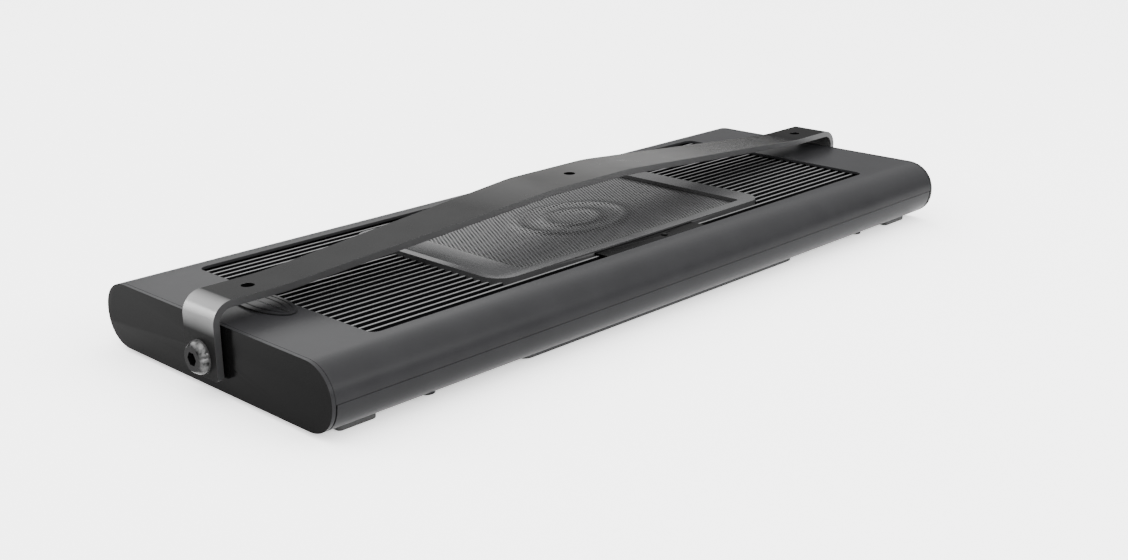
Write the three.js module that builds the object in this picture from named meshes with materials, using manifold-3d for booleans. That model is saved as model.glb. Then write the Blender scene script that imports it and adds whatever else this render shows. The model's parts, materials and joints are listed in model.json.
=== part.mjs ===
// Hanging LED light for an aquarium, in millimetres, +Z up.
// X runs along the housing, -Y is the front, and z = 0 is the plane that the feet stand on.
// The housing is an oval-section case. A finned heat sink fills it under a long opening in the top,
// two fans blow down onto the fins, and the LED boards shine through a clear shield underneath.
// A bent strap pivots on a screw at each end and carries the light.

import * as THREE from 'three';
import { mergeVertices } from 'three/addons/utils/BufferGeometryUtils.js';
import Module from 'manifold-3d';

const wasm = await Module();
wasm.setup();

// ---------------------------------------------------------------- driving dimensions

const GAP = 0.3;                       // clearance between neighbouring pieces

const HOUSING_LENGTH = 620;
const FLAT_HALF = 95.7;                // half the flat part of the top and underside
const NOSE_DEPTH = 23.4;               // how far the rounded sides stand out past the flat
const BODY_HEIGHT = 43.3;
const NOSE_POWER = 2.11;               // superellipse power of the rounded sides
const WALL = 2.0;
const FOOT_DROP = 3.0;                 // feet below the underside

const BODY_BOTTOM = FOOT_DROP;
const BODY_TOP = BODY_BOTTOM + BODY_HEIGHT;
const SEAM_Z = BODY_BOTTOM + BODY_HEIGHT / 2;
const HALF_LENGTH = HOUSING_LENGTH / 2;

const PLATE_THICK = 2.5;
const SPIGOT_DEPTH = 8;
const SHELL_HALF = HALF_LENGTH - PLATE_THICK - GAP;
const BEZEL_HALF = SHELL_HALF - 0.8;   // leaves the open slit beside each end plate

const VENT_X = [-258, 248];            // long opening in the top
const VENT_HALF_Y = 91;
const VENT_RADIUS = 6;

const FIN_COUNT = 26;
const FIN_PITCH = 6.975;
const FIN_THICK = 2.0;
const FIN_TOP = BODY_TOP - 2.4;
const SINK_BASE = [16.1, 20.1];        // base plate of the heat sink, bottom and top
const SINK_X = [-262, 252];
const SINK_FLANGE_Y = 111;

const COVER_X = [-144.7, 133.5];       // fan cover, set flush in the opening
const COVER_HALF_Y = 77;
const COVER_RADIUS = 16;
const COVER_THICK = 2.7;
const COVER_SKIRT = 8.3;
const GRILLE_X = [-110.5, 114.7];      // open window over the grille
const GRILLE_HALF_Y = 68;
const GRILLE_THICK = 1.0;
const COVER_MID = (COVER_X[0] + COVER_X[1]) / 2;

const TAB_X = [-56, 46.5];             // tab of the cover that lies on the front fins
const TAB_SCREW_X = 8.5;

const FAN_SIZE = 120;
const FAN_THICK = 15;
const FAN_BOTTOM = 26.3;
const FAN_BORE_R = 57;
const FAN_SCREW_REACH = 52.5;
const FAN_SPACING = 124;
const HUB_R = 18;
const BLADES = 7;
const BLADE_TIP_R = 55.2;

const BADGE_X = -270.5;                // oval badge on the top
const BADGE_SIZE = [25.4, 62];

const FRAME_X = [-150, 139.5];         // light frame under the middle
const FRAME_HALF_Y = 103.5;
const FRAME_DROP = 1.6;
const WINDOW_X = [-126, 114.6];        // light window
const WINDOW_HALF_Y = 76;
const SHIELD_MARGIN = 8;
const SHIELD_THICK = 3;

const FOOT_X = 281;
const FOOT_Y = [89.5, 103.5];
const FOOT_LENGTH = 28;

const STRAP_THICK = 4.5;
const STRAP_END_HALF = 16.4;           // half width at the legs and end flats
const STRAP_MID_HALF = 23.2;           // half width at the middle
const STRAP_FLAT_X = [39, 260];        // the ramps run between these
const STRAP_END_TOP = BODY_BOTTOM + 57.5;
const STRAP_MID_TOP = BODY_BOTTOM + 74.3;
const STRAP_OUTER_X = 316.2;
const STRAP_BEND_R = 13.4;
const STRAP_LEG_BOTTOM = BODY_BOTTOM + 8.8;
const HANG_HOLE_X = [-280, 0, 280];
const HANG_HOLE_R = 4.25;

const PIVOT_R = 6;                     // M12 shank
const PIVOT_HEAD_R = 10.8;
const PIVOT_FACE_R = 7.9;
const PIVOT_HEAD_H = 6.3;
const PIVOT_SOCKET = [8, 3.8];         // across flats, depth
const PIVOT_SHANK = 28;

const INLET_Y = 62;
const INLET_R = 8;

// ---------------------------------------------------------------- geometry helpers

const up = new THREE.Vector3(0, 0, 1);
const along = new THREE.Vector3(1, 0, 0);
const across = new THREE.Vector3(0, 1, 0);

/** A closed BufferGeometry as a manifold-3d solid. */
function solid(geometry) {
  const bare = geometry.clone();
  for (const name of Object.keys(bare.attributes)) {
    if (name !== 'position') bare.deleteAttribute(name);
  }
  const merged = mergeVertices(bare, 1e-4);
  const vertProperties = new Float32Array(merged.attributes.position.array);
  const triVerts = new Uint32Array(merged.index.array);
  return new wasm.Manifold(new wasm.Mesh({ numProp: 3, vertProperties, triVerts }));
}

/** A manifold-3d solid back as a BufferGeometry. */
function geometryOf(body) {
  const mesh = body.getMesh();
  const points = [];
  for (let i = 0; i < mesh.vertProperties.length; i += mesh.numProp) {
    points.push(mesh.vertProperties[i], mesh.vertProperties[i + 1], mesh.vertProperties[i + 2]);
  }
  const geometry = new THREE.BufferGeometry();
  geometry.setAttribute('position', new THREE.Float32BufferAttribute(points, 3));
  geometry.setIndex(Array.from(mesh.triVerts));
  geometry.computeVertexNormals();
  return geometry;
}

const join = (bodies) => bodies.reduce((sum, body) => sum.add(body));
const cut = (body, tools) => tools.reduce((rest, tool) => rest.subtract(tool), body);

/** A box between two corners. */
function box(x, y, z) {
  const geometry = new THREE.BoxGeometry(x[1] - x[0], y[1] - y[0], z[1] - z[0]);
  geometry.translate((x[0] + x[1]) / 2, (y[0] + y[1]) / 2, (z[0] + z[1]) / 2);
  return solid(geometry);
}

/** A flat outline as a THREE.Shape. */
function outline(points) {
  return new THREE.Shape(points.map(([a, b]) => new THREE.Vector2(a, b)));
}

/** A rectangle with rounded corners, centred at (cx, cy). */
function roundedRectangle(x, y, radius, corner = 6) {
  const points = [];
  const centres = [[x[1], y[1]], [x[0], y[1]], [x[0], y[0]], [x[1], y[0]]];
  const inward = [[-1, -1], [1, -1], [1, 1], [-1, 1]];
  for (let side = 0; side < 4; side += 1) {
    const cx = centres[side][0] + inward[side][0] * radius;
    const cy = centres[side][1] + inward[side][1] * radius;
    for (let step = 0; step <= corner; step += 1) {
      const angle = (side + step / corner) * Math.PI / 2;
      points.push([cx + radius * Math.cos(angle), cy + radius * Math.sin(angle)]);
    }
  }
  return outline(points);
}

/** A shape drawn in X and Y, standing between two heights. */
function prismZ(shape, z) {
  const geometry = new THREE.ExtrudeGeometry(shape, { depth: z[1] - z[0], bevelEnabled: false });
  geometry.translate(0, 0, z[0]);
  return solid(geometry);
}

/** A shape drawn in Y and Z, running between two X positions. */
function prismX(shape, x) {
  const geometry = new THREE.ExtrudeGeometry(shape, { depth: x[1] - x[0], bevelEnabled: false });
  geometry.applyMatrix4(new THREE.Matrix4().makeBasis(across, up, along));
  geometry.translate(x[0], 0, 0);
  return solid(geometry);
}

/** A shape drawn in X and Z, as thick as y says. */
function prismY(shape, y) {
  const geometry = new THREE.ExtrudeGeometry(shape, { depth: y[1] - y[0], bevelEnabled: false });
  geometry.applyMatrix4(new THREE.Matrix4().makeBasis(along, up, across.clone().negate()));
  geometry.translate(0, y[1], 0);
  return solid(geometry);
}

/** A turned piece on the Z axis: its profile is a list of [radius, z] from axis to axis. */
function turned(profile, sides, centre = [0, 0, 0]) {
  const points = profile.map(([radius, z]) => new THREE.Vector2(radius, z));
  const geometry = new THREE.LatheGeometry(points, sides);
  geometry.rotateX(Math.PI / 2);
  geometry.translate(...centre);
  const body = solid(geometry);
  return body.volume() < 0 ? solid(flipped(geometry)) : body;
}

/** The same surface with every triangle wound the other way. */
function flipped(geometry) {
  const other = geometry.clone();
  const index = Array.from(other.index.array);
  for (let i = 0; i < index.length; i += 3) {
    [index[i], index[i + 1]] = [index[i + 1], index[i]];
  }
  other.setIndex(index);
  return other;
}

/** An upright cylinder. */
function rod(x, y, z, radius, sides = 16) {
  const geometry = new THREE.CylinderGeometry(radius, radius, z[1] - z[0], sides);
  geometry.rotateX(Math.PI / 2);
  geometry.translate(x, y, (z[0] + z[1]) / 2);
  return solid(geometry);
}

/** A cylinder lying along X. */
function rodX(x, y, z, radius, sides = 20) {
  const geometry = new THREE.CylinderGeometry(radius, radius, x[1] - x[0], sides);
  geometry.rotateZ(Math.PI / 2);
  geometry.translate((x[0] + x[1]) / 2, y, z);
  return solid(geometry);
}

/** A solid turned to point along +X or -X and set at a place: local Z becomes the direction. */
function pointAlongX(body, side, place) {
  const matrix = new THREE.Matrix4().makeRotationY(side * Math.PI / 2);
  matrix.setPosition(...place);
  return body.transform(matrix.toArray());
}

// ---------------------------------------------------------------- the case outline

/** Points of the case section in Y and Z from one side over the top or under the bottom to the other. */
function sectionArc(inset, direction, startZ) {
  const steps = 8;
  const depth = NOSE_DEPTH - inset;
  const height = BODY_HEIGHT / 2 - inset;
  const points = [];
  for (const side of [1, -1]) {
    for (let step = 0; step <= steps; step += 1) {
      const turn = (side > 0 ? step : steps - step) / steps * Math.PI / 2;
      const reach = depth * Math.cos(turn) ** (2 / NOSE_POWER);
      const rise = height * Math.sin(turn) ** (2 / NOSE_POWER);
      const z = SEAM_Z + direction * rise;
      const kept = direction > 0 ? Math.max(z, startZ) : Math.min(z, startZ);
      points.push([side * (FLAT_HALF + reach), kept]);
    }
  }
  return points.filter((point, i) => i === 0 || Math.hypot(
    point[0] - points[i - 1][0], point[1] - points[i - 1][1]) > 0.02);
}

/** The whole case section, drawn in by an inset. */
function wholeSection(inset) {
  const top = sectionArc(inset, 1, SEAM_Z);
  const bottom = sectionArc(inset, -1, SEAM_Z).reverse();
  return outline([...top, ...bottom.slice(1, -1)]);
}

/** Half the case wall: the upper half for direction 1, the lower for -1. */
function halfWall(direction) {
  const edge = SEAM_Z + direction * GAP / 2;
  const outer = sectionArc(0, direction, edge);
  const inner = sectionArc(WALL, direction, edge).reverse();
  return outline([...outer, ...inner]);
}

// ---------------------------------------------------------------- materials

const material = (color, roughness, metalness, extra = {}) =>
  new THREE.MeshStandardMaterial({ color, roughness, metalness, ...extra });

const FINISH = {
  shell: () => material(0x5a5a5c, 0.55, 0.35),
  endPlate: () => material(0x1c1c1b, 0.22, 0.1),
  fins: () => material(0x55565a, 0.4, 0.6),
  blackPlastic: () => material(0x242424, 0.5, 0),
  grille: () => material(0x3a3a3b, 0.45, 0.5),
  strap: () => material(0x5c5b5a, 0.42, 0.45),
  blackSteel: () => material(0x2c2c2d, 0.35, 0.7),
  nylon: () => material(0x1a1a1a, 0.6, 0),
  rubber: () => material(0x191919, 0.8, 0),
  board: () => material(0xd9dad6, 0.5, 0.1),
  circuit: () => material(0x1f4d33, 0.5, 0.1),
  clear: () => material(0xf2f6f8, 0.08, 0, { transparent: true, opacity: 0.35 }),
  steel: () => material(0x9a9a9c, 0.35, 0.9),
  brass: () => material(0xb08d4a, 0.35, 0.9),
  cable: () => material(0x151515, 0.6, 0),
};

const light = new THREE.Group();

/** Adds a named piece to the light. */
function place(name, body, finish) {
  const mesh = new THREE.Mesh(geometryOf(body), FINISH[finish]());
  mesh.name = name;
  light.add(mesh);
}

// ---------------------------------------------------------------- case

function topShell() {
  const wall = prismX(halfWall(1), [-SHELL_HALF, SHELL_HALF]);
  const vent = roundedRectangle(VENT_X, [-VENT_HALF_Y, VENT_HALF_Y], VENT_RADIUS);
  return wall.subtract(prismZ(vent, [BODY_TOP - 12, BODY_TOP + 5]));
}

const CHASSIS_SCREWS = [[-230, -103], [-230, 103], [220, -103], [220, 103]];

function lowerBezel() {
  const margin = SHIELD_MARGIN + GAP;
  const window = roundedRectangle(
    [WINDOW_X[0] - margin, WINDOW_X[1] + margin],
    [-WINDOW_HALF_Y - margin, WINDOW_HALF_Y + margin], 6, 3);
  const wall = prismX(halfWall(-1), [-BEZEL_HALF, BEZEL_HALF]);
  const bosses = CHASSIS_SCREWS.map(([x, y]) => {
    const post = rod(x, y, [BODY_BOTTOM + 1, SINK_BASE[0] - GAP], 4.5, 14);
    return post.intersect(prismX(wholeSection(0.5), [-BEZEL_HALF, BEZEL_HALF]));
  });
  const bores = CHASSIS_SCREWS.map(([x, y]) => rod(x, y, [BODY_BOTTOM + 5, SINK_BASE[0] + 5], 2.3, 10));
  const shell = wall.subtract(prismZ(window, [BODY_BOTTOM - 2, BODY_BOTTOM + 6]));
  return cut(join([shell, ...bosses]), [...bores, ...frameScrewBores(2.3, [-1, 12])]);
}

/** An end plate: a flat face as tall as the case with a spigot that slides inside it. */
function endPlate(side) {
  const outerX = side * HALF_LENGTH;
  const innerX = side * (HALF_LENGTH - PLATE_THICK);
  const spigotX = innerX - side * SPIGOT_DEPTH;
  const span = (a, b) => [Math.min(a, b), Math.max(a, b)];
  const face = prismX(wholeSection(0), span(outerX, innerX));
  const spigot = prismX(wholeSection(WALL + GAP), span(innerX + side * 0.5, spigotX));
  const hollow = prismX(wholeSection(WALL + GAP + 1.6), span(innerX, spigotX - side));
  const bore = rodX(span(outerX + side, spigotX), 0, SEAM_Z, PIVOT_R + GAP);
  const holes = [bore];
  if (side > 0) holes.push(rodX(span(outerX + side, spigotX), INLET_Y, SEAM_Z, INLET_R + GAP));
  return cut(face.add(spigot.subtract(hollow)), holes);
}

// ---------------------------------------------------------------- heat sink

const fanCentres = [-1, 1].map((side) => COVER_MID + side * FAN_SPACING / 2);

/** The four screw places of the fan centred at x. */
function fanScrewPlaces(x) {
  const reach = FAN_SCREW_REACH;
  return [[-1, -1], [1, -1], [-1, 1], [1, 1]].map(([a, b]) => [x + a * reach, b * reach]);
}

function heatSink() {
  const base = box(SINK_X, [-SINK_FLANGE_Y, SINK_FLANGE_Y], SINK_BASE);
  const fins = [];
  for (let i = 0; i < FIN_COUNT; i += 1) {
    const y = (i - (FIN_COUNT - 1) / 2) * FIN_PITCH;
    fins.push(box(SINK_X, [y - FIN_THICK / 2, y + FIN_THICK / 2], [SINK_BASE[1] - 0.5, FIN_TOP]));
  }
  const clear = 0.6;
  const pocketPlan = roundedRectangle(
    [COVER_X[0] - clear, COVER_X[1] + clear],
    [-COVER_HALF_Y - clear, COVER_HALF_Y + clear], COVER_RADIUS + clear);
  const pocket = prismZ(pocketPlan, [FAN_BOTTOM - GAP, FIN_TOP + 3]);
  const loomSlot = box([COVER_MID - 3, COVER_MID + 3], [70, 92], [FAN_BOTTOM - GAP, FIN_TOP + 3]);
  const body = cut(join([base, ...fins]), [pocket, loomSlot]);
  const screws = fanCentres.flatMap(fanScrewPlaces);
  const pillars = screws.map(([x, y]) => rod(x, y, [SINK_BASE[1] - 0.5, FAN_BOTTOM - GAP], 4, 12));
  const bores = screws.map(([x, y]) => rod(x, y, [18, FAN_BOTTOM + 1], 1.9, 8));
  const flangeHoles = CHASSIS_SCREWS.map(([x, y]) => rod(x, y, [SINK_BASE[0] - 1, SINK_BASE[1] + 1], 2.3, 10));
  const tabBores = tabScrewPlaces.map(([x, y]) => rod(x, y, [FIN_TOP - 9, FIN_TOP + 1], 1.3, 8));
  const tabPillars = tabScrewPlaces.map(([x, y]) => rod(x, y, [SINK_BASE[1] - 0.5, FIN_TOP], 2.6, 10));
  return cut(join([body, ...pillars, ...tabPillars]), [...bores, ...flangeHoles, ...tabBores]);
}

// ---------------------------------------------------------------- fan cover and grille

const tabScrewPlaces = [[TAB_SCREW_X, -84], [TAB_SCREW_X, 84]];

function fanCover() {
  const ring = roundedRectangle(COVER_X, [-COVER_HALF_Y, COVER_HALF_Y], COVER_RADIUS);
  const skirtWall = 2;
  const inside = roundedRectangle(
    [COVER_X[0] + skirtWall, COVER_X[1] - skirtWall],
    [-COVER_HALF_Y + skirtWall, COVER_HALF_Y - skirtWall], COVER_RADIUS - skirtWall);
  const window = roundedRectangle(GRILLE_X, [-GRILLE_HALF_Y, GRILLE_HALF_Y], 5);
  const top = BODY_TOP + 0.3;
  const block = prismZ(ring, [top - COVER_SKIRT, top]);
  const hollow = prismZ(inside, [top - COVER_SKIRT - 1, top - COVER_THICK]);
  const tabs = [-1, 1].map((side) => {
    const y = [COVER_HALF_Y - 1, VENT_HALF_Y - 0.5].map((value) => side * value).sort((a, b) => a - b);
    return box(TAB_X, y, [FIN_TOP + GAP, FIN_TOP + 1.6]);
  });
  const holes = tabScrewPlaces.map(([x, y]) => rod(x, y, [FIN_TOP - 1, FIN_TOP + 5], 1.5, 8));
  return cut(join([block.subtract(hollow), ...tabs]), [prismZ(window, [top - 6, top + 2]), ...holes]);
}

function fanGrille() {
  const rim = 6;
  const sheet = roundedRectangle(
    [GRILLE_X[0] - rim, GRILLE_X[1] + rim], [-GRILLE_HALF_Y - rim, GRILLE_HALF_Y + rim], 6, 4);
  const under = BODY_TOP + 0.3 - COVER_THICK - GAP;
  return prismZ(sheet, [under - GRILLE_THICK, under]);
}

/** A small pan-head screw with its axis upright and its head seated at z. */
function panScrew(x, y, z, shank, length, headR, headH, sides = 12) {
  const profile = [[0, -length], [shank, -length], [shank, 0], [headR, 0],
    [headR, headH * 0.55], [headR * 0.7, headH], [0, headH]];
  return turned(profile, sides, [x, y, z]);
}

// ---------------------------------------------------------------- fans

function fanFrame(x) {
  const half = FAN_SIZE / 2;
  const z = [FAN_BOTTOM, FAN_BOTTOM + FAN_THICK];
  const plan = roundedRectangle([x - half, x + half], [-half, half], 7, 4);
  const bore = rod(x, 0, [z[0] - 1, z[1] + 1], FAN_BORE_R, 28);
  const screwHoles = fanScrewPlaces(x).flatMap(([sx, sy]) => [
    rod(sx, sy, [z[0] - 1, z[1] + 1], 2.1, 10),
    rod(sx, sy, [z[1] - 2.6, z[1] + 1], 3.9, 12),
  ]);
  const corners = [45, 135, 225, 315].map((degrees) => {
    const turn = THREE.MathUtils.degToRad(degrees);
    const slot = new THREE.BoxGeometry(9, 16, FAN_THICK - 7);
    slot.rotateZ(turn);
    slot.translate(x + 79 * Math.cos(turn), 79 * Math.sin(turn), (z[0] + z[1]) / 2);
    return solid(slot);
  });
  const hub = rod(x, 0, [z[0], z[0] + 2.4], HUB_R - 1, 24);
  const struts = [0, 1, 2, 3].map((i) => {
    const turn = (i + 0.3) * Math.PI / 2;
    const bar = new THREE.BoxGeometry(FAN_BORE_R - 6, 3.2, 2.4);
    bar.translate((FAN_BORE_R + 8) / 2, 0, z[0] + 1.2);
    bar.rotateZ(turn);
    bar.translate(x, 0, 0);
    return solid(bar);
  });
  const walls = cut(prismZ(plan, z), [bore, ...screwHoles, ...corners]);
  return join([walls, hub, ...struts]);
}

/** The stator: a winding core that stands on the frame's hub inside the rotor's cup. */
function fanStator(x) {
  const foot = FAN_BOTTOM + 2.4 + GAP;
  const core = rod(x, 0, [foot, foot + 7], 6, 16);
  const poles = [0, 1].map((i) => {
    const bar = new THREE.BoxGeometry(25, 6.5, 4.2);
    bar.rotateZ(i * Math.PI / 2);
    bar.translate(x, 0, foot + 3.4);
    return solid(bar);
  });
  return join([core, ...poles]);
}

/** The rotor: a cup with swept, pitched blades. */
function fanRotor(x) {
  const bottom = FAN_BOTTOM + 3.2;
  const top = FAN_BOTTOM + FAN_THICK - 1.3;
  const cup = turned([[0, top], [HUB_R - 1.5, top], [HUB_R, top - 1.5], [HUB_R, bottom],
    [HUB_R - 1.6, bottom], [HUB_R - 1.6, top - 1.6], [0, top - 1.6]], 28, [x, 0, 0]);
  const blades = [];
  for (let i = 0; i < BLADES; i += 1) {
    const section = outline([[-10, 1.0], [-3, 5.2], [4, 8.0], [11, 9.4],
      [11, 8.1], [4, 6.6], [-3, 3.8], [-10, -0.2]]);
    const length = BLADE_TIP_R - HUB_R + 1.2;
    const blade = new THREE.ExtrudeGeometry(section, { depth: length, bevelEnabled: false });
    const radial = new THREE.Matrix4().makeBasis(across, up, along);
    blade.applyMatrix4(radial);
    blade.translate(HUB_R - 1.2, 0, bottom + 0.4);
    blade.rotateZ(i / BLADES * 2 * Math.PI);
    blade.translate(x, 0, 0);
    blades.push(solid(blade));
  }
  const tip = rod(x, 0, [bottom - 1, top + 1], BLADE_TIP_R, 28);
  return join([cup, ...blades]).intersect(tip);
}

function fanScrew(x, y) {
  return panScrew(x, y, FAN_BOTTOM + FAN_THICK - 2.4, 1.55, 19, 3.4, 2, 10);
}

// ---------------------------------------------------------------- light engine

const BOARD_SIZE = [114, 142];
const LED_GRID = [5, 6];
const LED_PITCH = 22;

/** The places of the light points of the board centred at x. */
function lightPoints(x) {
  const points = [];
  for (let i = 0; i < LED_GRID[0]; i += 1) {
    for (let j = 0; j < LED_GRID[1]; j += 1) {
      const px = x + (i - (LED_GRID[0] - 1) / 2) * LED_PITCH;
      points.push([px, (j - (LED_GRID[1] - 1) / 2) * LED_PITCH]);
    }
  }
  return points;
}

function ledBoard(x) {
  const z = [SINK_BASE[0] - GAP - 1.6, SINK_BASE[0] - GAP];
  const [sx, sy] = BOARD_SIZE;
  const board = box([x - sx / 2, x + sx / 2], [-sy / 2, sy / 2], z);
  const chips = lightPoints(x).map(([px, py]) =>
    box([px - 3.5, px + 3.5], [py - 3.5, py + 3.5], [z[0] - 0.8, z[0] + 0.2]));
  return join([board, ...chips]);
}

function lensPlate(x) {
  const top = SINK_BASE[0] - GAP - 1.6 - 0.8 - GAP;
  const [sx, sy] = BOARD_SIZE;
  const sheet = box([x - sx / 2, x + sx / 2], [-sy / 2, sy / 2], [top - 1.5, top]);
  const domes = lightPoints(x).map(([px, py]) => {
    const profile = [[0, top - 5.2], [4.6, top - 4.4], [8.2, top - 1], [0, top - 1]];
    return turned(profile, 6, [px, py, 0]);
  });
  return join([sheet, ...domes]);
}

/** Plan of the splash shield. */
function shieldPlan(shrink) {
  const margin = SHIELD_MARGIN - shrink;
  return roundedRectangle(
    [WINDOW_X[0] - margin, WINDOW_X[1] + margin],
    [-WINDOW_HALF_Y - margin, WINDOW_HALF_Y + margin], 5.5, 3);
}

const SHIELD_Z = [BODY_BOTTOM + 0.1, BODY_BOTTOM + 0.1 + SHIELD_THICK];

function splashShield() {
  return prismZ(shieldPlan(0), SHIELD_Z);
}

/** The gasket: a rubber ring between the shield and the skirt of the boards. */
function shieldGasket() {
  const z = [SHIELD_Z[1] + GAP, SHIELD_Z[1] + GAP + 1.6];
  const inner = roundedRectangle(WINDOW_X, [-WINDOW_HALF_Y, WINDOW_HALF_Y], 4, 3);
  return prismZ(shieldPlan(0.5), z).subtract(prismZ(inner, [z[0] - 1, z[1] + 1]));
}

const frameScrewPlaces = [[FRAME_X[1] - 7, -97], [FRAME_X[1] - 7, 97]];

function frameScrewBores(radius, z) {
  return frameScrewPlaces.map(([x, y]) => rod(x, y, [BODY_BOTTOM + z[0], BODY_BOTTOM + z[1]], radius, 10));
}

function lightFrame() {
  const bottom = BODY_BOTTOM - FRAME_DROP;
  const plan = roundedRectangle(FRAME_X, [-FRAME_HALF_Y, FRAME_HALF_Y], 8, 4);
  const window = roundedRectangle(WINDOW_X, [-WINDOW_HALF_Y, WINDOW_HALF_Y], 4, 3);
  const slab = prismZ(plan, [bottom, BODY_BOTTOM + 4]);
  const caseBody = prismX(wholeSection(-GAP), [-HALF_LENGTH, HALF_LENGTH]);
  return cut(slab, [caseBody, prismZ(window, [bottom - 1, BODY_BOTTOM + 5]), ...frameScrewBores(1.9, [-5, 5])]);
}

function frameScrew(x, y) {
  const head = BODY_BOTTOM - FRAME_DROP - 0.1;
  const profile = [[0, head - 1.2], [1.6, head - 1.1], [3, head - 0.5], [3, head],
    [1.5, head], [1.5, head + 9], [0, head + 9]];
  return turned(profile, 12, [x, y, 0]);
}

function foot(sideX, sideY) {
  const half = FOOT_LENGTH / 2;
  const slope = 4;
  const top = BODY_BOTTOM + 6;
  const x = sideX * FOOT_X;
  const profile = outline([[x - half, BODY_BOTTOM - 0.4], [x - half + slope, 0], [x + half - slope, 0],
    [x + half, BODY_BOTTOM - 0.4], [x + half, top], [x - half, top]]);
  const y = FOOT_Y.map((value) => sideY * value).sort((a, b) => a - b);
  const caseBody = prismX(wholeSection(-GAP), [-HALF_LENGTH, HALF_LENGTH]);
  return prismY(profile, y).subtract(caseBody);
}

// ---------------------------------------------------------------- electronics and wiring

const CONTROLLER_Z = [21.5, 23.1];

function controllerBoard() {
  const board = box([258, 298], [-86, -20], CONTROLLER_Z);
  const top = CONTROLLER_Z[1];
  const parts = [
    box([263, 281], [-82, -64], [top - 0.2, top + 9]),
    box([264, 286], [-56, -36], [top - 0.2, top + 3]),
    box([288, 296], [-58, -44], [top - 0.2, top + 6]),
    box([264, 276], [-30, -22], [top - 0.2, top + 7]),
    box([280, 292], [-30, -22], [top - 0.2, top + 7]),
    rod(291, -68, [top - 0.2, top + 10], 4, 14),
    rod(291, -79, [top - 0.2, top + 10], 4, 14),
  ];
  return join([board, ...parts]);
}

/** Posts that hold the controller board above the bezel. */
function controllerPost(x, y) {
  return rod(x, y, [BODY_BOTTOM + WALL + GAP, CONTROLLER_Z[0] - GAP], 3, 6);
}

/** Power inlet: threaded barrel through the end plate with a round flange, socket and centre pin. */
function powerInlet() {
  const face = HALF_LENGTH + 3.6;
  const flange = turned([[0, 0], [INLET_R, 0], [INLET_R, 19.8], [10.5, 19.8], [10.5, 22.2], [9.6, 23.3],
    [5.2, 23.3], [5.2, 14], [1.4, 14], [1.2, 22.4], [0, 22.6]], 24);
  return pointAlongX(flange, 1, [face - 23.3, INLET_Y, SEAM_Z]);
}

function inletNut() {
  const inner = HALF_LENGTH - PLATE_THICK - GAP;
  const hex = new THREE.CylinderGeometry(11.5, 11.5, 3, 6);
  hex.rotateZ(Math.PI / 2);
  hex.translate(inner - 1.5, INLET_Y, SEAM_Z);
  return solid(hex).subtract(rodX([inner - 5, inner + 2], INLET_Y, SEAM_Z, INLET_R + GAP));
}

/** A round wire along a smooth path through the given points. */
function wire(points, radius, steps) {
  const path = new THREE.CatmullRomCurve3(points.map((p) => new THREE.Vector3(...p)), false, 'centripetal');
  const ring = [];
  for (let i = 0; i < 8; i += 1) {
    const turn = i / 8 * 2 * Math.PI;
    ring.push([radius * Math.cos(turn), radius * Math.sin(turn)]);
  }
  return solid(new THREE.ExtrudeGeometry(outline(ring), { steps, extrudePath: path, bevelEnabled: false }));
}

const inletBack = HALF_LENGTH + 3.6 - 23.3 - GAP;

function powerLead() {
  return wire([[inletBack, INLET_Y, SEAM_Z], [inletBack - 6, INLET_Y, SEAM_Z + 1],
    [276, 52, 28], [274, 30, 30], [275, 0, 30], [279, -12, 28.5], [285, -16, 27], [286, -20.6, 27]], 2, 22);
}

function wiringLoom() {
  const z = 29;
  return wire([[270, -21.6, 27], [266, -10, 28], [264, 40, z], [262, 86, z], [252, 98, z], [230, 100, z],
    [150, 100, z], [60, 100, z], [8, 100, z], [-3, 96, z], [COVER_MID, 88, z], [COVER_MID, 80, z],
    [COVER_MID, 62, z]], 1.5, 52);
}

// ---------------------------------------------------------------- hanging bracket

/** Top face of the strap, from the middle out to one end flat. */
function strapTopPoints() {
  const [flatEnd, rampEnd] = STRAP_FLAT_X;
  const bend = 9;
  const rise = STRAP_MID_TOP - STRAP_END_TOP;
  const slope = rise / (rampEnd - flatEnd);
  const points = [[0, STRAP_MID_TOP]];
  for (let step = 0; step <= 4; step += 1) {
    const t = step / 4;
    points.push([flatEnd - bend + 2 * bend * t, STRAP_MID_TOP - slope * bend * t * t]);
  }
  for (let step = 0; step <= 4; step += 1) {
    const t = step / 4;
    const drop = slope * bend * (1 - t) * (1 - t);
    points.push([rampEnd - bend + 2 * bend * t, STRAP_END_TOP + drop]);
  }
  return points;
}

/** Side outline of the strap: its outer line and the same line drawn in by its thickness. */
function strapProfile() {
  const half = strapTopPoints();
  const bendSteps = 8;
  const ring = (radius) => {
    const points = [];
    for (let step = 0; step <= bendSteps; step += 1) {
      const turn = Math.PI / 2 * (1 - step / bendSteps);
      const cx = STRAP_OUTER_X - STRAP_BEND_R;
      const cz = STRAP_END_TOP - STRAP_BEND_R;
      points.push([cx + radius * Math.cos(turn), cz + radius * Math.sin(turn)]);
    }
    return points;
  };
  const outerRight = [...half, ...ring(STRAP_BEND_R), [STRAP_OUTER_X, STRAP_LEG_BOTTOM]];
  const innerTop = half.map(([x, z]) => [x, z - STRAP_THICK]);
  const innerRight = [...innerTop, ...ring(STRAP_BEND_R - STRAP_THICK),
    [STRAP_OUTER_X - STRAP_THICK, STRAP_LEG_BOTTOM]];
  const mirror = (points) => points.slice(1).map(([x, z]) => [-x, z]).reverse();
  const outer = [...mirror(outerRight), ...outerRight];
  const inner = [...mirror(innerRight), ...innerRight];
  return outline([...outer, ...inner.reverse()]);
}

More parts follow.
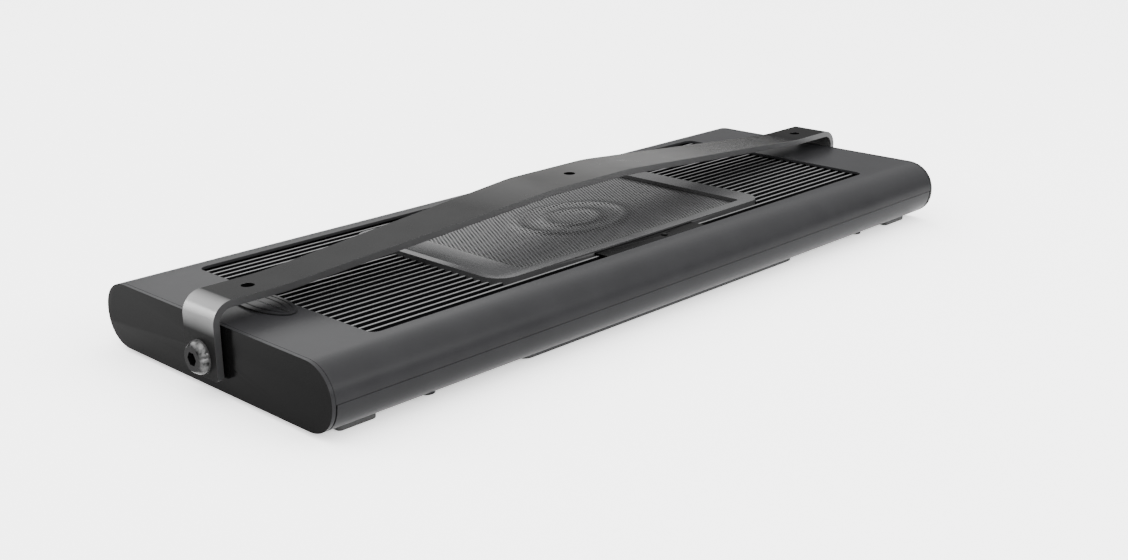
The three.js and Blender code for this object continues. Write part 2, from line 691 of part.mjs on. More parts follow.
function hangingBracket() {
  const side = prismY(strapProfile(), [-40, 40]);
  const wide = STRAP_MID_HALF;
  const narrow = STRAP_END_HALF;
  const [flatEnd, rampEnd] = STRAP_FLAT_X;
  const reach = STRAP_OUTER_X + 5;
  const quarter = [[flatEnd, wide], [rampEnd - 20, narrow], [reach, narrow]];
  const flip = (points, a, b) => points.map(([x, y]) => [a * x, b * y]);
  const plan = outline([...quarter.slice().reverse(), ...flip(quarter, -1, 1),
    ...flip(quarter.slice().reverse(), -1, -1), ...flip(quarter, 1, -1)]);
  const legCorner = 2.5;
  const legs = outline([[-narrow - 20, 90], [-narrow - 20, 40], [-narrow - 0.01, 40],
    [-narrow - 0.01, STRAP_LEG_BOTTOM + legCorner], [-narrow + legCorner * 0.3, STRAP_LEG_BOTTOM + legCorner * 0.3],
    [-narrow + legCorner, STRAP_LEG_BOTTOM], [narrow - legCorner, STRAP_LEG_BOTTOM],
    [narrow - legCorner * 0.3, STRAP_LEG_BOTTOM + legCorner * 0.3], [narrow + 0.01, STRAP_LEG_BOTTOM + legCorner],
    [narrow + 0.01, 40], [narrow + 20, 40], [narrow + 20, 90]]);
  const blank = side.intersect(prismZ(plan, [0, 100])).intersect(prismX(legs, [-reach, reach]));
  const hangHoles = HANG_HOLE_X.map((x) => rod(x, 0, [STRAP_END_TOP - 8, STRAP_MID_TOP + 5], HANG_HOLE_R, 16));
  const pivotBore = rodX([-reach, reach], 0, SEAM_Z, PIVOT_R + GAP);
  return cut(blank, [...hangHoles, pivotBore]);
}

/** Pivot screw: round button head with a hexagon socket, and its shank through leg and plate. */
function pivotScrew(side) {
  const face = PIVOT_HEAD_H;
  const dome = [];
  for (let step = 0; step <= 4; step += 1) {
    const turn = step / 4 * Math.PI / 2;
    const r = PIVOT_FACE_R + (PIVOT_HEAD_R - PIVOT_FACE_R) * Math.cos(turn);
    dome.push([r, 1.2 + (face - 1.2) * Math.sin(turn)]);
  }
  const body = turned([[0, -PIVOT_SHANK], [PIVOT_R - 1, -PIVOT_SHANK], [PIVOT_R, -PIVOT_SHANK + 1],
    [PIVOT_R, 0], [PIVOT_HEAD_R, 0], ...dome, [0, face]], 24);
  const [flats, depth] = PIVOT_SOCKET;
  const socket = new THREE.CylinderGeometry(flats / Math.sqrt(3), flats / Math.sqrt(3), depth + 1, 6);
  socket.rotateX(Math.PI / 2);
  socket.translate(0, 0, face - depth + (depth + 1) / 2);
  const seat = side * (STRAP_OUTER_X + 0.1);
  return pointAlongX(body.subtract(solid(socket)), side, [seat, 0, SEAM_Z]);
}

/** A round washer or sleeve on the pivot axis between two distances from the middle. */
function pivotRing(side, x, outerR) {
  const span = x.map((value) => side * value).sort((a, b) => a - b);
  return rodX(span, 0, SEAM_Z, outerR, 24).subtract(rodX([span[0] - 1, span[1] + 1], 0, SEAM_Z, PIVOT_R + GAP));
}

/** The threaded boss behind an end plate: flange and blind sleeve. */
function pivotInsert(side) {
  const inner = HALF_LENGTH - PLATE_THICK - GAP;
  const flange = [inner - 4, inner];
  const flangeX = flange.map((value) => side * value).sort((a, b) => a - b);
  const sleeveX = [inner - 22, inner - 1].map((value) => side * value).sort((a, b) => a - b);
  const boreX = [inner - 19.5, inner + 1].map((value) => side * value).sort((a, b) => a - b);
  const body = rodX(flangeX, 0, SEAM_Z, 15, 24).add(rodX(sleeveX, 0, SEAM_Z, 9.5));
  return body.subtract(rodX(boreX, 0, SEAM_Z, PIVOT_R + GAP));
}

// ---------------------------------------------------------------- assembly

place('top_shell', topShell(), 'shell');
place('lower_bezel', lowerBezel(), 'shell');
place('end_plate_left', endPlate(-1), 'endPlate');
place('end_plate_right', endPlate(1), 'endPlate');
place('heat_sink', heatSink(), 'fins');
place('fan_cover', fanCover(), 'blackPlastic');
place('fan_grille', fanGrille(), 'grille');
for (const [i, name] of ['front', 'rear'].entries()) {
  const [x, y] = tabScrewPlaces[i];
  place(`tab_screw_${name}`, panScrew(x, y, FIN_TOP + 1.7, 1.0, 8, 2.2, 0.9, 10), 'blackSteel');
}
const badgePlan = new THREE.Shape().absellipse(BADGE_X, 0, BADGE_SIZE[0] / 2, BADGE_SIZE[1] / 2, 0, 2 * Math.PI);
place('badge', prismZ(outline(badgePlan.getPoints(20).slice(0, -1).map((p) => [p.x, p.y])),
  [BODY_TOP + 0.1, BODY_TOP + 1.0]), 'endPlate');

for (const [i, name] of ['left', 'right'].entries()) {
  const x = fanCentres[i];
  place(`fan_frame_${name}`, fanFrame(x), 'blackPlastic');
  place(`fan_stator_${name}`, fanStator(x), 'brass');
  place(`fan_rotor_${name}`, fanRotor(x), 'blackPlastic');
  for (const [j, [sx, sy]] of fanScrewPlaces(x).entries()) {
    place(`fan_screw_${name}_${j + 1}`, fanScrew(sx, sy), 'steel');
  }
  place(`led_board_${name}`, ledBoard(x), 'board');
  place(`lens_plate_${name}`, lensPlate(x), 'clear');
}

place('splash_shield', splashShield(), 'clear');
place('shield_gasket', shieldGasket(), 'rubber');
place('light_frame', lightFrame(), 'blackPlastic');
for (const [i, name] of ['front', 'rear'].entries()) {
  place(`frame_screw_${name}`, frameScrew(...frameScrewPlaces[i]), 'blackSteel');
}
for (const [i, [x, y]] of CHASSIS_SCREWS.entries()) {
  place(`chassis_screw_${i + 1}`, panScrew(x, y, SINK_BASE[1] + 0.1, 2.0, 11, 4, 2.6), 'steel');
}

place('controller_board', controllerBoard(), 'circuit');
place('board_post_front', controllerPost(264, -60), 'nylon');
place('board_post_rear', controllerPost(290, -34), 'nylon');
place('power_inlet', powerInlet(), 'nylon');
place('inlet_nut', inletNut(), 'steel');
place('power_lead', powerLead(), 'cable');
place('wiring_loom', wiringLoom(), 'cable');

place('hanging_bracket', hangingBracket(), 'strap');
for (const [name, side] of [['left', -1], ['right', 1]]) {
  place(`pivot_screw_${name}`, pivotScrew(side), 'blackSteel');
  place(`pivot_washer_${name}`, pivotRing(side, [HALF_LENGTH + 0.2, STRAP_OUTER_X - STRAP_THICK - 0.2], 11), 'nylon');
  place(`pivot_insert_${name}`, pivotInsert(side), 'brass');
}
for (const [endName, sideX] of [['left', -1], ['right', 1]]) {
  for (const [rowName, sideY] of [['front', -1], ['rear', 1]]) {
    place(`foot_${endName}_${rowName}`, foot(sideX, sideY), 'rubber');
  }
}

export default light;
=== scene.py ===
"""Hanging LED aquarium light: detailed pieces, finishes, floor, lamps and camera.

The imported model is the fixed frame. Pieces are modelled in millimetres and turned to metres when they are
finished. Places come from the frame's nodes, and the sizes that it doesn't give are fields of the classes.
"""

import json
import logging
import math
from collections.abc import Callable, Iterable
from dataclasses import dataclass, field
from enum import Enum
from typing import ClassVar

import bmesh
import bpy
from mathutils import Matrix, Vector

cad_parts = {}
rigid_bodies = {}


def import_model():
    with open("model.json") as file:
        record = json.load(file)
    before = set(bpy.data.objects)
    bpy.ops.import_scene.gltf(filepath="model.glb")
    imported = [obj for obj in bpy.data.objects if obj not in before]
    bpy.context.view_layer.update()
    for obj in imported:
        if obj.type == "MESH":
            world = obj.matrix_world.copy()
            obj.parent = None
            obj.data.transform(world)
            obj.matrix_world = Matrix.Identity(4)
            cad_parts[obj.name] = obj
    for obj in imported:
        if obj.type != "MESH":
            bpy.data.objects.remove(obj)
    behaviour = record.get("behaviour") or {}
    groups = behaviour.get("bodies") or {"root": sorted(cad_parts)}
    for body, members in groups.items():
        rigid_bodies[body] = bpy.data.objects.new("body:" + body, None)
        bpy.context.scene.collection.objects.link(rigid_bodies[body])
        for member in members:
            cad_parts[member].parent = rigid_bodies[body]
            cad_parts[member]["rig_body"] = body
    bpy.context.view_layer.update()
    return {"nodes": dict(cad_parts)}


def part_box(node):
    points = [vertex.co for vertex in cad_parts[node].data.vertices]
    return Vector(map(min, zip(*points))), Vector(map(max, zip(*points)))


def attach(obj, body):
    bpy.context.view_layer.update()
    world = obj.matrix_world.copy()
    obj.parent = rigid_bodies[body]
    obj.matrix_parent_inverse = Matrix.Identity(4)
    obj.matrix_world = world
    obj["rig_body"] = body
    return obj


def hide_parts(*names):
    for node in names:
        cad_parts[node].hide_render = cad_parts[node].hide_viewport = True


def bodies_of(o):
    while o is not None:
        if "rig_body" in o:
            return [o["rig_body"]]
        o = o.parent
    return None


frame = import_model()

LOG = logging.getLogger("aquarium_light")
MM = 0.001
SIDES = (-1, 1)


class Body(Enum):
    """Bodies of the frame that pieces ride on."""

    HOUSING = "housing"
    BRACKET = "bracket"
    LEFT_FAN = "left_fan"
    RIGHT_FAN = "right_fan"


class Kind(Enum):
    """What an edit works on."""

    EDGE = "EDGE"
    FACE = "FACE"


class Axis(Enum):
    """The three directions of the frame."""

    X = 0
    Y = 1
    Z = 2

    @property
    def vector(self) -> Vector:
        """Unit vector along this axis."""
        return Vector([float(i == self.value) for i in range(3)])


@dataclass(frozen=True)
class Span:
    """A node's box in millimetres."""

    low: Vector
    high: Vector

    @classmethod
    def of(cls, node: str) -> "Span":
        """The box of a CAD node."""
        low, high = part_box(node)
        return cls(low / MM, high / MM)

    @property
    def middle(self) -> Vector:
        """Centre of the box."""
        return (self.low + self.high) / 2

    @property
    def size(self) -> Vector:
        """Lengths of the box's sides."""
        return self.high - self.low

    def along(self, axis: Axis, room: float = 0.0) -> tuple[float, float]:
        """Where the box begins and ends along an axis, with room added at both ends."""
        return self.low[axis.value] - room, self.high[axis.value] + room


def both(half: float) -> tuple[float, float]:
    """From one side of the middle plane to the other."""
    return -half, half


# Shader nodes


class Shade:
    """A shader socket that takes part in arithmetic, adding a Math node for each operation."""

    def __init__(self, graph: "Graph", socket: bpy.types.NodeSocket) -> None:
        """Keeps the graph and the socket."""
        self.graph = graph
        self.socket = socket

    def _with(self, operation: str, first: "Shade | float", second: "Shade | float") -> "Shade":
        """One Math node."""
        return self.graph.node("ShaderNodeMath", {"operation": operation}, {0: first, 1: second})

    def __add__(self, other: "Shade | float") -> "Shade":
        """Sum."""
        return self._with("ADD", self, other)

    __radd__ = __add__

    def __sub__(self, other: "Shade | float") -> "Shade":
        """Difference."""
        return self._with("SUBTRACT", self, other)

    def __rsub__(self, other: float) -> "Shade":
        """Difference from a number."""
        return self._with("SUBTRACT", other, self)

    def __mul__(self, other: "Shade | float") -> "Shade":
        """Product."""
        return self._with("MULTIPLY", self, other)

    __rmul__ = __mul__

    def __gt__(self, other: "Shade | float") -> "Shade":
        """One where this is greater, else nothing."""
        return self._with("GREATER_THAN", self, other)

    def span(self, low: float, high: float) -> "Shade":
        """This value's way from low to high, held between 0 and 1."""
        inputs = {"Value": self, "From Min": low, "From Max": high}
        return self.graph.node("ShaderNodeMapRange", {"clamp": True}, inputs)


class Graph:
    """The node tree of one material."""

    def __init__(self, name: str, surround: bool = False) -> None:
        """Makes a material, or a surround, whose tree holds its shader and output."""
        self.material = (bpy.data.worlds if surround else bpy.data.materials).new(name)
        self.material.use_nodes = True
        self.tree = self.material.node_tree
        self.shader = self.tree.nodes["Background" if surround else "Principled BSDF"]

    def node(self, kind: str, settings: dict | None = None, inputs: dict | None = None,
             output: int | str = 0) -> Shade:
        """Adds a node.

        Args:
            kind: The node's type.
            settings: Its settings, such as a Math node's operation.
            inputs: Values or links of its sockets, by number or name.
            output: The output that is handed back.

        Returns:
            The output, ready for arithmetic.
        """
        made = self.tree.nodes.new(kind)
        for key, value in (settings or {}).items():
            setattr(made, key, value)
        for key, value in (inputs or {}).items():
            self._feed(made.inputs[key], value)
        return Shade(self, made.outputs[output])

    def _feed(self, socket: bpy.types.NodeSocket, value: "Shade | float | tuple") -> None:
        """Links or sets one input."""
        if isinstance(value, Shade):
            self.tree.links.new(value.socket, socket)
        else:
            socket.default_value = value

    def set(self, **inputs: "Shade | float | tuple") -> None:
        """Sets the shader's own sockets, named with underscores for spaces."""
        for key, value in inputs.items():
            self._feed(self.shader.inputs[key.replace("_", " ")], value)

    def place(self, stretch: tuple[float, float, float] = (1, 1, 1)) -> Shade:
        """Object coordinates in metres, stretched along the axes."""
        coordinates = self.node("ShaderNodeTexCoord", output="Object")
        return self.node("ShaderNodeMapping", {"vector_type": "POINT"},
                         {"Vector": coordinates, "Scale": stretch})

    def noise(self, scale: float, detail: float = 2.0,
              stretch: tuple[float, float, float] = (1, 1, 1)) -> Shade:
        """Noise over the surface, from 0 to 1, with its scale per metre."""
        return self.node("ShaderNodeTexNoise", inputs={
            "Vector": self.place(stretch), "Scale": scale, "Detail": detail, "Roughness": 0.55})

    def height(self) -> Shade:
        """Height above the feet, in millimetres."""
        split = self.node("ShaderNodeSeparateXYZ", inputs={"Vector": self.place()}, output="Z")
        return split * (1 / MM)

    def tint(self, share: Shade, first: Shade | tuple, second: tuple) -> Shade:
        """A colour between two colours, the first of which may come from another tint."""
        start = first if isinstance(first, Shade) else (*first, 1)
        return self.node("ShaderNodeMix", {"data_type": "RGBA"},
                         {"Factor": share, 6: start, 7: (*second, 1)}, output=2)

    def bump(self, height: Shade, depth: float) -> None:
        """Raises the surface by a height of 0 to 1 times a depth in millimetres."""
        normal = self.node("ShaderNodeBump", inputs={"Height": height, "Distance": depth * MM,
                                                     "Strength": 1.0})
        self.set(Normal=normal)


# Finishes


@dataclass(frozen=True)
class Coating:
    """A painted, moulded or metal surface with drift in its colour and gloss and a fine grain."""

    name: str
    colour: tuple[float, float, float]
    roughness: float
    metallic: float = 0.0
    ior: float = 1.5
    coat: float = 0.0
    drift: float = 0.12
    drift_scale: float = 35.0
    gloss_drift: float = 0.05
    grain: float = 0.012
    grain_scale: float = 1500.0
    brushed: tuple[float, float, float] = (1, 1, 1)

    def shaded(self, amount: float) -> tuple[float, float, float]:
        """The colour made lighter or darker by a share."""
        return tuple(min(1.0, channel * (1 + amount)) for channel in self.colour)

    def material(self) -> bpy.types.Material:
        """Builds the material."""
        graph = Graph(self.name)
        cloud = graph.noise(self.drift_scale, 4.0, self.brushed)
        specks = graph.noise(self.grain_scale, 2.0, self.brushed)
        graph.set(IOR=self.ior, Coat_Weight=self.coat, Coat_Roughness=0.08, **self.surface(graph, cloud, specks))
        graph.bump(specks, self.grain)
        return graph.material

    def gloss(self, cloud: Shade, specks: Shade) -> Shade:
        """The roughness, which drifts in clouds and specks."""
        return self.roughness + (cloud - 0.5) * (2 * self.gloss_drift) + (specks - 0.5) * 0.05

    def surface(self, graph: Graph, cloud: Shade, specks: Shade) -> dict[str, Shade | float]:
        """The sockets that set this finish apart.

        Args:
            graph: The material's nodes.
            cloud: Noise at the scale of the drift.
            specks: Noise at the scale of the grain.

        Returns:
            Their values, by socket name.
        """
        share = (cloud * 0.7 + specks * 0.3).span(0.3, 0.7)
        colour = graph.tint(share, self.shaded(-self.drift), self.shaded(self.drift))
        return {"Base_Color": colour, "Roughness": self.gloss(cloud, specks), "Metallic": self.metallic}


@dataclass(frozen=True)
class HighlitFinTops(Coating):
    """Dark anodised metal with a painted highlight along the top edges of the fins."""

    top: float = 43.9
    band: float = 0.2
    # painted highlight colour along the fin tops
    top_highlight: tuple[float, float, float] = (0.085, 0.085, 0.086)

    def surface(self, graph: Graph, cloud: Shade, specks: Shade) -> dict[str, Shade | float]:
        """Paints a highlight close to the top, broken by streaks."""
        share = graph.height().span(self.top - self.band, self.top - self.band / 3)
        streaks = graph.noise(900.0, 2.0, (0.05, 1, 1))
        return {"Base_Color": graph.tint(share * (0.75 + streaks * 0.25), self.colour, self.top_highlight),
                "Roughness": self.roughness - share * 0.08 + (streaks - 0.5) * 0.1, "Metallic": self.metallic}


@dataclass(frozen=True)
class PaintedSheenCoat(Coating):
    """Powder coat with painted light: a lighter painted reflection over the raised middle and a painted
    highlight at the bends.
    """

    middle: float = 0.08
    reach: tuple[float, float] = (0.18, 0.02)
    # painted reflection colour over the raised middle
    middle_reflection: tuple[float, float, float] = (0.055, 0.0545, 0.054)
    bend_reach: tuple[float, float] = (0.302, 0.313)
    bend_height: tuple[float, float] = (40.0, 58.0)
    # painted highlight colour at the bends
    bend_highlight: tuple[float, float, float] = (0.16, 0.16, 0.16)

    def surface(self, graph: Graph, cloud: Shade, specks: Shade) -> dict[str, Shade | float]:
        """Paints the lighter reflection tone in towards the middle, in patches, and paints a highlight at the
        bends.
        """
        along = graph.node("ShaderNodeSeparateXYZ", inputs={"Vector": graph.place()}, output="X")
        away = graph.node("ShaderNodeMath", {"operation": "ABSOLUTE"}, {0: along - self.middle})
        patches = graph.noise(self.drift_scale, 3.0)
        share = away.span(*self.reach) * (0.8 + patches * 0.4)
        far = graph.node("ShaderNodeMath", {"operation": "ABSOLUTE"}, {0: along})
        # mask of the painted highlight at the bends
        bend = far.span(*self.bend_reach) * graph.height().span(*self.bend_height) * (0.7 + patches * 0.6)
        reflection_tone = graph.tint(share, self.colour, self.middle_reflection)
        return {"Base_Color": graph.tint(bend, reflection_tone, self.bend_highlight), "Roughness": self.gloss(cloud, specks),
                "Metallic": bend * 0.7}


@dataclass(frozen=True)
class PaintedRimHighlight(Coating):
    """Black oxide with a painted highlight round the rim of a pivot screw."""

    axis_height: float = 24.65
    rim: tuple[float, float] = (7.6, 9.6)
    head_limit: float = 12.0
    # painted highlight colour round the rim
    rim_highlight: tuple[float, float, float] = (0.09, 0.09, 0.09)

    def surface(self, graph: Graph, cloud: Shade, specks: Shade) -> dict[str, Shade | float]:
        """Paints a highlight away from the screw's axis, in patches."""
        offset = graph.node("ShaderNodeMapping", {"vector_type": "POINT"}, {
            "Vector": graph.node("ShaderNodeTexCoord", output="Object"),
            "Location": (0, 0, -self.axis_height * MM), "Scale": (0, 1, 1)})
        away = graph.node("ShaderNodeVectorMath", {"operation": "LENGTH"}, {0: offset}, "Value") * (1 / MM)
        patches = graph.noise(260.0, 3.0)
        # mask of the painted rim highlight
        share = away.span(*self.rim) * patches.span(0.3, 0.6) * (1 - (away > self.head_limit))
        return {"Base_Color": graph.tint(share, self.colour, self.rim_highlight), "Roughness": self.gloss(cloud, specks),
                "Metallic": share * 0.7}


@dataclass(frozen=True)
class ClearMoulding:
    """Clear plastic."""

    name: str
    tint: tuple[float, float, float] = (0.96, 0.98, 0.99)
    roughness: float = 0.04

    def material(self) -> bpy.types.Material:
        """Builds the material."""
        graph = Graph(self.name)
        haze = graph.noise(60.0, 3.0)
        graph.set(Base_Color=graph.tint(haze, self.tint, tuple(c * 0.97 for c in self.tint)),
                  Roughness=self.roughness + haze * 0.03, IOR=1.49, Transmission_Weight=0.95, Alpha=0.55)
        return graph.material


class Finish(Enum):
    """Every finish of the light, with the record's slot that it stands for."""

    CASE = ("case", Coating("case_powder_coat", (0.0125, 0.0125, 0.0132), 0.33, ior=1.11))
    END_PLATE = ("end_plate", Coating("end_plate_gloss", (0.0014, 0.0014, 0.0014), 0.18, ior=1.07,
                                      drift=0.1, gloss_drift=0.02, grain=0.003, grain_scale=700.0))
    BADGE = ("badge", Coating("badge_gloss", (0.009, 0.009, 0.0095), 0.3, ior=1.12, grain=0.001, drift=0.05))
    # the fins carry a painted highlight along their tops
    FINS = ("fins", HighlitFinTops("anodised_fins", (0.0022, 0.0022, 0.0024), 0.36, ior=1.1, grain=0.006,
                               drift=0.2))
    COVER = ("cover", Coating("cover_satin", (0.024, 0.024, 0.0245), 0.24, ior=1.2, grain=0.006,
                              grain_scale=1900.0))
    GRILLE = ("grille", Coating("grille_enamel", (0.026, 0.026, 0.0265), 0.35, ior=1.3, grain=0.004))
    FAN = ("fan", Coating("fan_plastic", (0.007, 0.007, 0.007), 0.45, grain=0.01))
    WINDING = ("winding", Coating("enamelled_wire", (0.45, 0.16, 0.05), 0.3, metallic=0.8, grain=0.05,
                                  grain_scale=900.0, brushed=(1, 1, 4)))
    BRIGHT_SCREW = ("bright_screw", Coating("zinc_screw", (0.55, 0.55, 0.56), 0.3, metallic=0.95))
    # the pivot screws carry a painted highlight round their rims
    BLACK_SCREW = ("black_screw", PaintedRimHighlight("black_oxide", (0.002, 0.002, 0.0021), 0.16, ior=1.09,
                                          grain=0.006, drift=0.25, drift_scale=160.0))
    LED_BOARD = ("led_board", Coating("white_board", (0.78, 0.78, 0.75), 0.35, drift=0.03, grain=0.004))
    PHOSPHOR = ("led_board", Coating("chip_phosphor", (0.86, 0.66, 0.12), 0.4, coat=0.3, drift=0.08,
                                     drift_scale=400.0))
    CLEAR = ("clear", ClearMoulding("clear_moulding"))
    RUBBER = ("rubber", Coating("foot_rubber", (0.008, 0.008, 0.008), 0.62, grain=0.02, grain_scale=1200.0))
    CIRCUIT = ("circuit", Coating("circuit_board", (0.012, 0.07, 0.03), 0.35, coat=0.2))
    NYLON = ("nylon", Coating("black_nylon", (0.004, 0.004, 0.004), 0.42, ior=1.15, grain=0.008))
    CABLE = ("cable", Coating("cable_sleeve", (0.015, 0.015, 0.015), 0.5, grain=0.02))
    # the strap carries a painted reflection over its middle and a painted highlight at its bends
    STRAP = ("strap", PaintedSheenCoat("strap_powder_coat", (0.006, 0.006, 0.006), 0.25, ior=1.05))
    # lighter tone on the strap's side faces
    STRAP_EDGE = ("strap", Coating("strap_side_tone", (0.02, 0.02, 0.0205), 0.34, ior=1.3))
    # painted shade: near-black inside the hanging holes
    STRAP_WALL = ("strap", Coating("strap_hole_wall", (0.0015, 0.0015, 0.0015), 0.4, ior=1.1))
    # painted highlight round the rims of the hanging holes
    STRAP_RING = ("strap", Coating("strap_hole_ring", (0.07, 0.07, 0.07), 0.25, metallic=0.7))
    BRASS = ("brass", Coating("turned_brass", (0.62, 0.44, 0.16), 0.28, metallic=0.95))

    def __init__(self, slot: str, recipe: Coating | ClearMoulding) -> None:
        """Keeps the slot and the recipe."""
        self.slot = slot
        self.recipe = recipe

    def material(self) -> bpy.types.Material:
        """The finish's material, built when first asked for."""
        return bpy.data.materials.get(self.recipe.name) or self.recipe.material()


# Modelling


@dataclass(frozen=True)
class Spot:
    """Where an element of a mesh is: its middle, and the way it faces or runs."""

    middle: Vector
    facing: Vector


def _spot(element: bmesh.types.BMEdge | bmesh.types.BMFace) -> Spot:
    """The spot of one element."""
    if isinstance(element, bmesh.types.BMFace):
        return Spot(element.calc_center_median(), element.normal)
    start, end = (vert.co for vert in element.verts)
    return Spot((start + end) / 2, (end - start).normalized())


def clear_bench() -> None:
    """Leaves edit mode and deselects everything."""
    if bpy.context.object and bpy.context.object.mode == "EDIT":
        bpy.ops.object.mode_set(mode="OBJECT")
    bpy.ops.object.select_all(action="DESELECT")


class Workpiece:
    """One piece on the bench, modelled in millimetres."""

    def __init__(self, obj: bpy.types.Object) -> None:
        """Takes an object that has just been added."""
        self.obj = obj

    @classmethod
    def _added(cls, name: str) -> "Workpiece":
        """The primitive that was just added, with its place in its mesh."""
        obj = bpy.context.object
        obj.name = name
        bpy.ops.object.transform_apply(location=True, rotation=True, scale=True)
        return cls(obj)

    @classmethod
    def box(cls, name: str, low: Iterable[float], high: Iterable[float]) -> "Workpiece":
        """A box between two corners."""
        low, high = Vector(low), Vector(high)
        clear_bench()
        bpy.ops.mesh.primitive_cube_add(size=1, location=(low + high) / 2, scale=high - low)
        return cls._added(name)

    @classmethod
    def drum(cls, name: str, centre: Iterable[float], radius: float, length: float,
             axis: Axis = Axis.Z, sides: int = 32) -> "Workpiece":
        """A cylinder round a centre, along an axis."""
        turn = {Axis.X: (0, math.pi / 2, 0), Axis.Y: (math.pi / 2, 0, 0), Axis.Z: (0, 0, 0)}[axis]
        clear_bench()
        bpy.ops.mesh.primitive_cylinder_add(vertices=sides, radius=radius, depth=length,
                                            location=Vector(centre), rotation=turn)
        return cls._added(name)

    @classmethod
    def disc(cls, name: str, centre: Iterable[float], radius: float, sides: int) -> "Workpiece":
        """A flat filled disc that faces up."""
        clear_bench()
        bpy.ops.mesh.primitive_circle_add(vertices=sides, radius=radius, fill_type="NGON",
                                          location=Vector(centre))
        return cls._added(name)

    @classmethod
    def ball(cls, name: str, centre: Iterable[float], radius: float, segments: int = 20,
             rings: int = 12) -> "Workpiece":
        """A ball round a centre."""
        clear_bench()
        bpy.ops.mesh.primitive_uv_sphere_add(segments=segments, ring_count=rings, radius=radius,
                                             location=Vector(centre))
        return cls._added(name)

    def take(self) -> None:
        """Makes this the only selected object, in object mode."""
        clear_bench()
        self.obj.select_set(True)
        bpy.context.view_layer.objects.active = self.obj

    def pick(self, kind: Kind, wanted: Callable[[Spot], bool]) -> "Workpiece":
        """Selects, in edit mode, the elements that a test wants."""
        if bpy.context.object != self.obj or self.obj.mode != "EDIT":
            self.take()
            bpy.ops.object.mode_set(mode="EDIT")
        bpy.ops.mesh.select_mode(type=kind.value)
        bpy.ops.mesh.select_all(action="DESELECT")
        mesh = bmesh.from_edit_mesh(self.obj.data)
        for element in mesh.faces if kind is Kind.FACE else mesh.edges:
            if wanted(_spot(element)):
                element.select_set(True)
        mesh.select_flush_mode()
        bmesh.update_edit_mesh(self.obj.data)
        return self

    def all(self) -> "Workpiece":
        """Selects the whole mesh in edit mode."""
        return self.pick(Kind.FACE, lambda spot: True)

    def extrude(self, *moves: Iterable[float]) -> "Workpiece":
        """Extrudes the selection by each move in turn."""
        for move in moves:
            bpy.ops.mesh.extrude_region_move(TRANSFORM_OT_translate={"value": Vector(move)})
        return self

    def inset(self, thickness: float, depth: float = 0.0) -> "Workpiece":
        """Insets the selected faces."""
        bpy.ops.mesh.inset(thickness=thickness, depth=depth, use_even_offset=True)
        return self

    def bevel(self, width: float, segments: int, profile: float = 0.5) -> "Workpiece":
        """Bevels the selected edges."""
        bpy.ops.mesh.bevel(offset=width, segments=segments, profile=profile, clamp_overlap=True, affect="EDGES")
        return self

    def slice(self, place: Iterable[float], normal: Iterable[float], drop_front: bool = False,
              drop_back: bool = False) -> "Workpiece":
        """Cuts the selection with a plane, and may drop one side of it."""
        bpy.ops.mesh.bisect(plane_co=Vector(place), plane_no=Vector(normal), use_fill=False,
                            clear_outer=drop_front, clear_inner=drop_back, threshold=1e-4)
        return self

    def resize(self, factors: Iterable[float], about: Iterable[float]) -> "Workpiece":
        """Scales the selection about a point."""
        bpy.ops.transform.resize(value=Vector(factors), center_override=Vector(about))
        return self

    def spin(self, angle: float, steps: int, centre: Iterable[float], axis: Axis) -> "Workpiece":
        """Sweeps the selection round an axis."""
        bpy.ops.mesh.spin(steps=steps, angle=angle, center=Vector(centre), axis=axis.vector)
        return self

    def delete(self) -> "Workpiece":
        """Deletes the selected faces."""
        bpy.ops.mesh.delete(type="FACE")
        return self

    def merge(self, distance: float = 0.01) -> "Workpiece":
        """Merges points that lie together."""
        self.all()
        bpy.ops.mesh.remove_doubles(threshold=distance)
        return self

    def outward(self) -> "Workpiece":
        """Turns all faces outwards."""
        self.all()
        bpy.ops.mesh.normals_make_consistent(inside=False)
        return self

    def shape(self, move: Callable[[Vector], Vector]) -> "Workpiece":
        """Moves every point by a rule."""
        self.take()
        for vert in self.obj.data.vertices:
            vert.co = move(vert.co)
        return self

    def modify(self, kind: str, **settings: object) -> "Workpiece":
        """Adds a modifier and applies it."""
        self.take()
        bpy.ops.object.modifier_add(type=kind)
        made = self.obj.modifiers[-1]
        for key, value in settings.items():
            setattr(made, key, value)
        bpy.ops.object.modifier_apply(modifier=made.name)
        return self

    def thicken(self, thickness: float) -> "Workpiece":
        """Gives an open surface a wall on its inner side."""
        return self.modify("SOLIDIFY", thickness=thickness, offset=-1, use_even_offset=True)

    def repeat(self, count: int, step: Iterable[float]) -> "Workpiece":
        """Repeats the piece in a row."""
        return self.modify("ARRAY", count=count, use_relative_offset=False, use_constant_offset=True,
                           constant_offset_displace=step)

    def _combine(self, operation: str, tools: Iterable["Workpiece"]) -> "Workpiece":
        """Runs one boolean for each tool and discards the tool."""
        self.outward()
        for tool in tools:
            tool.take()
            self.modify("BOOLEAN", operation=operation, solver="MANIFOLD", object=tool.obj)
            bpy.data.objects.remove(tool.obj)
        return self

    def cut(self, *tools: "Workpiece") -> "Workpiece":
        """Cuts tools out."""
        return self._combine("DIFFERENCE", tools)

    def bore(self, centre: Iterable[float], radius: float, length: float, axis: Axis = Axis.Z,
             sides: int = 32) -> "Workpiece":
        """Drills a hole of a number of sides through a centre."""
        return self.cut(Workpiece.drum("bore_tool", centre, radius, length, axis, sides))

    def fuse(self, *tools: "Workpiece") -> "Workpiece":
        """Fuses tools on."""
        return self._combine("UNION", tools)

    def soften(self, width: float, segments: int = 2, angle: float = 38.0) -> "Workpiece":
        """Rounds every edge sharper than an angle."""
        return self.modify("BEVEL", width=width, segments=segments, limit_method="ANGLE",
                           angle_limit=math.radians(angle), miter_outer="MITER_ARC")

    def join(self, *others: "Workpiece") -> "Workpiece":
        """Takes other pieces into this mesh."""
        self.take()
        for other in others:
            other.obj.select_set(True)
        bpy.ops.object.join()
        return self

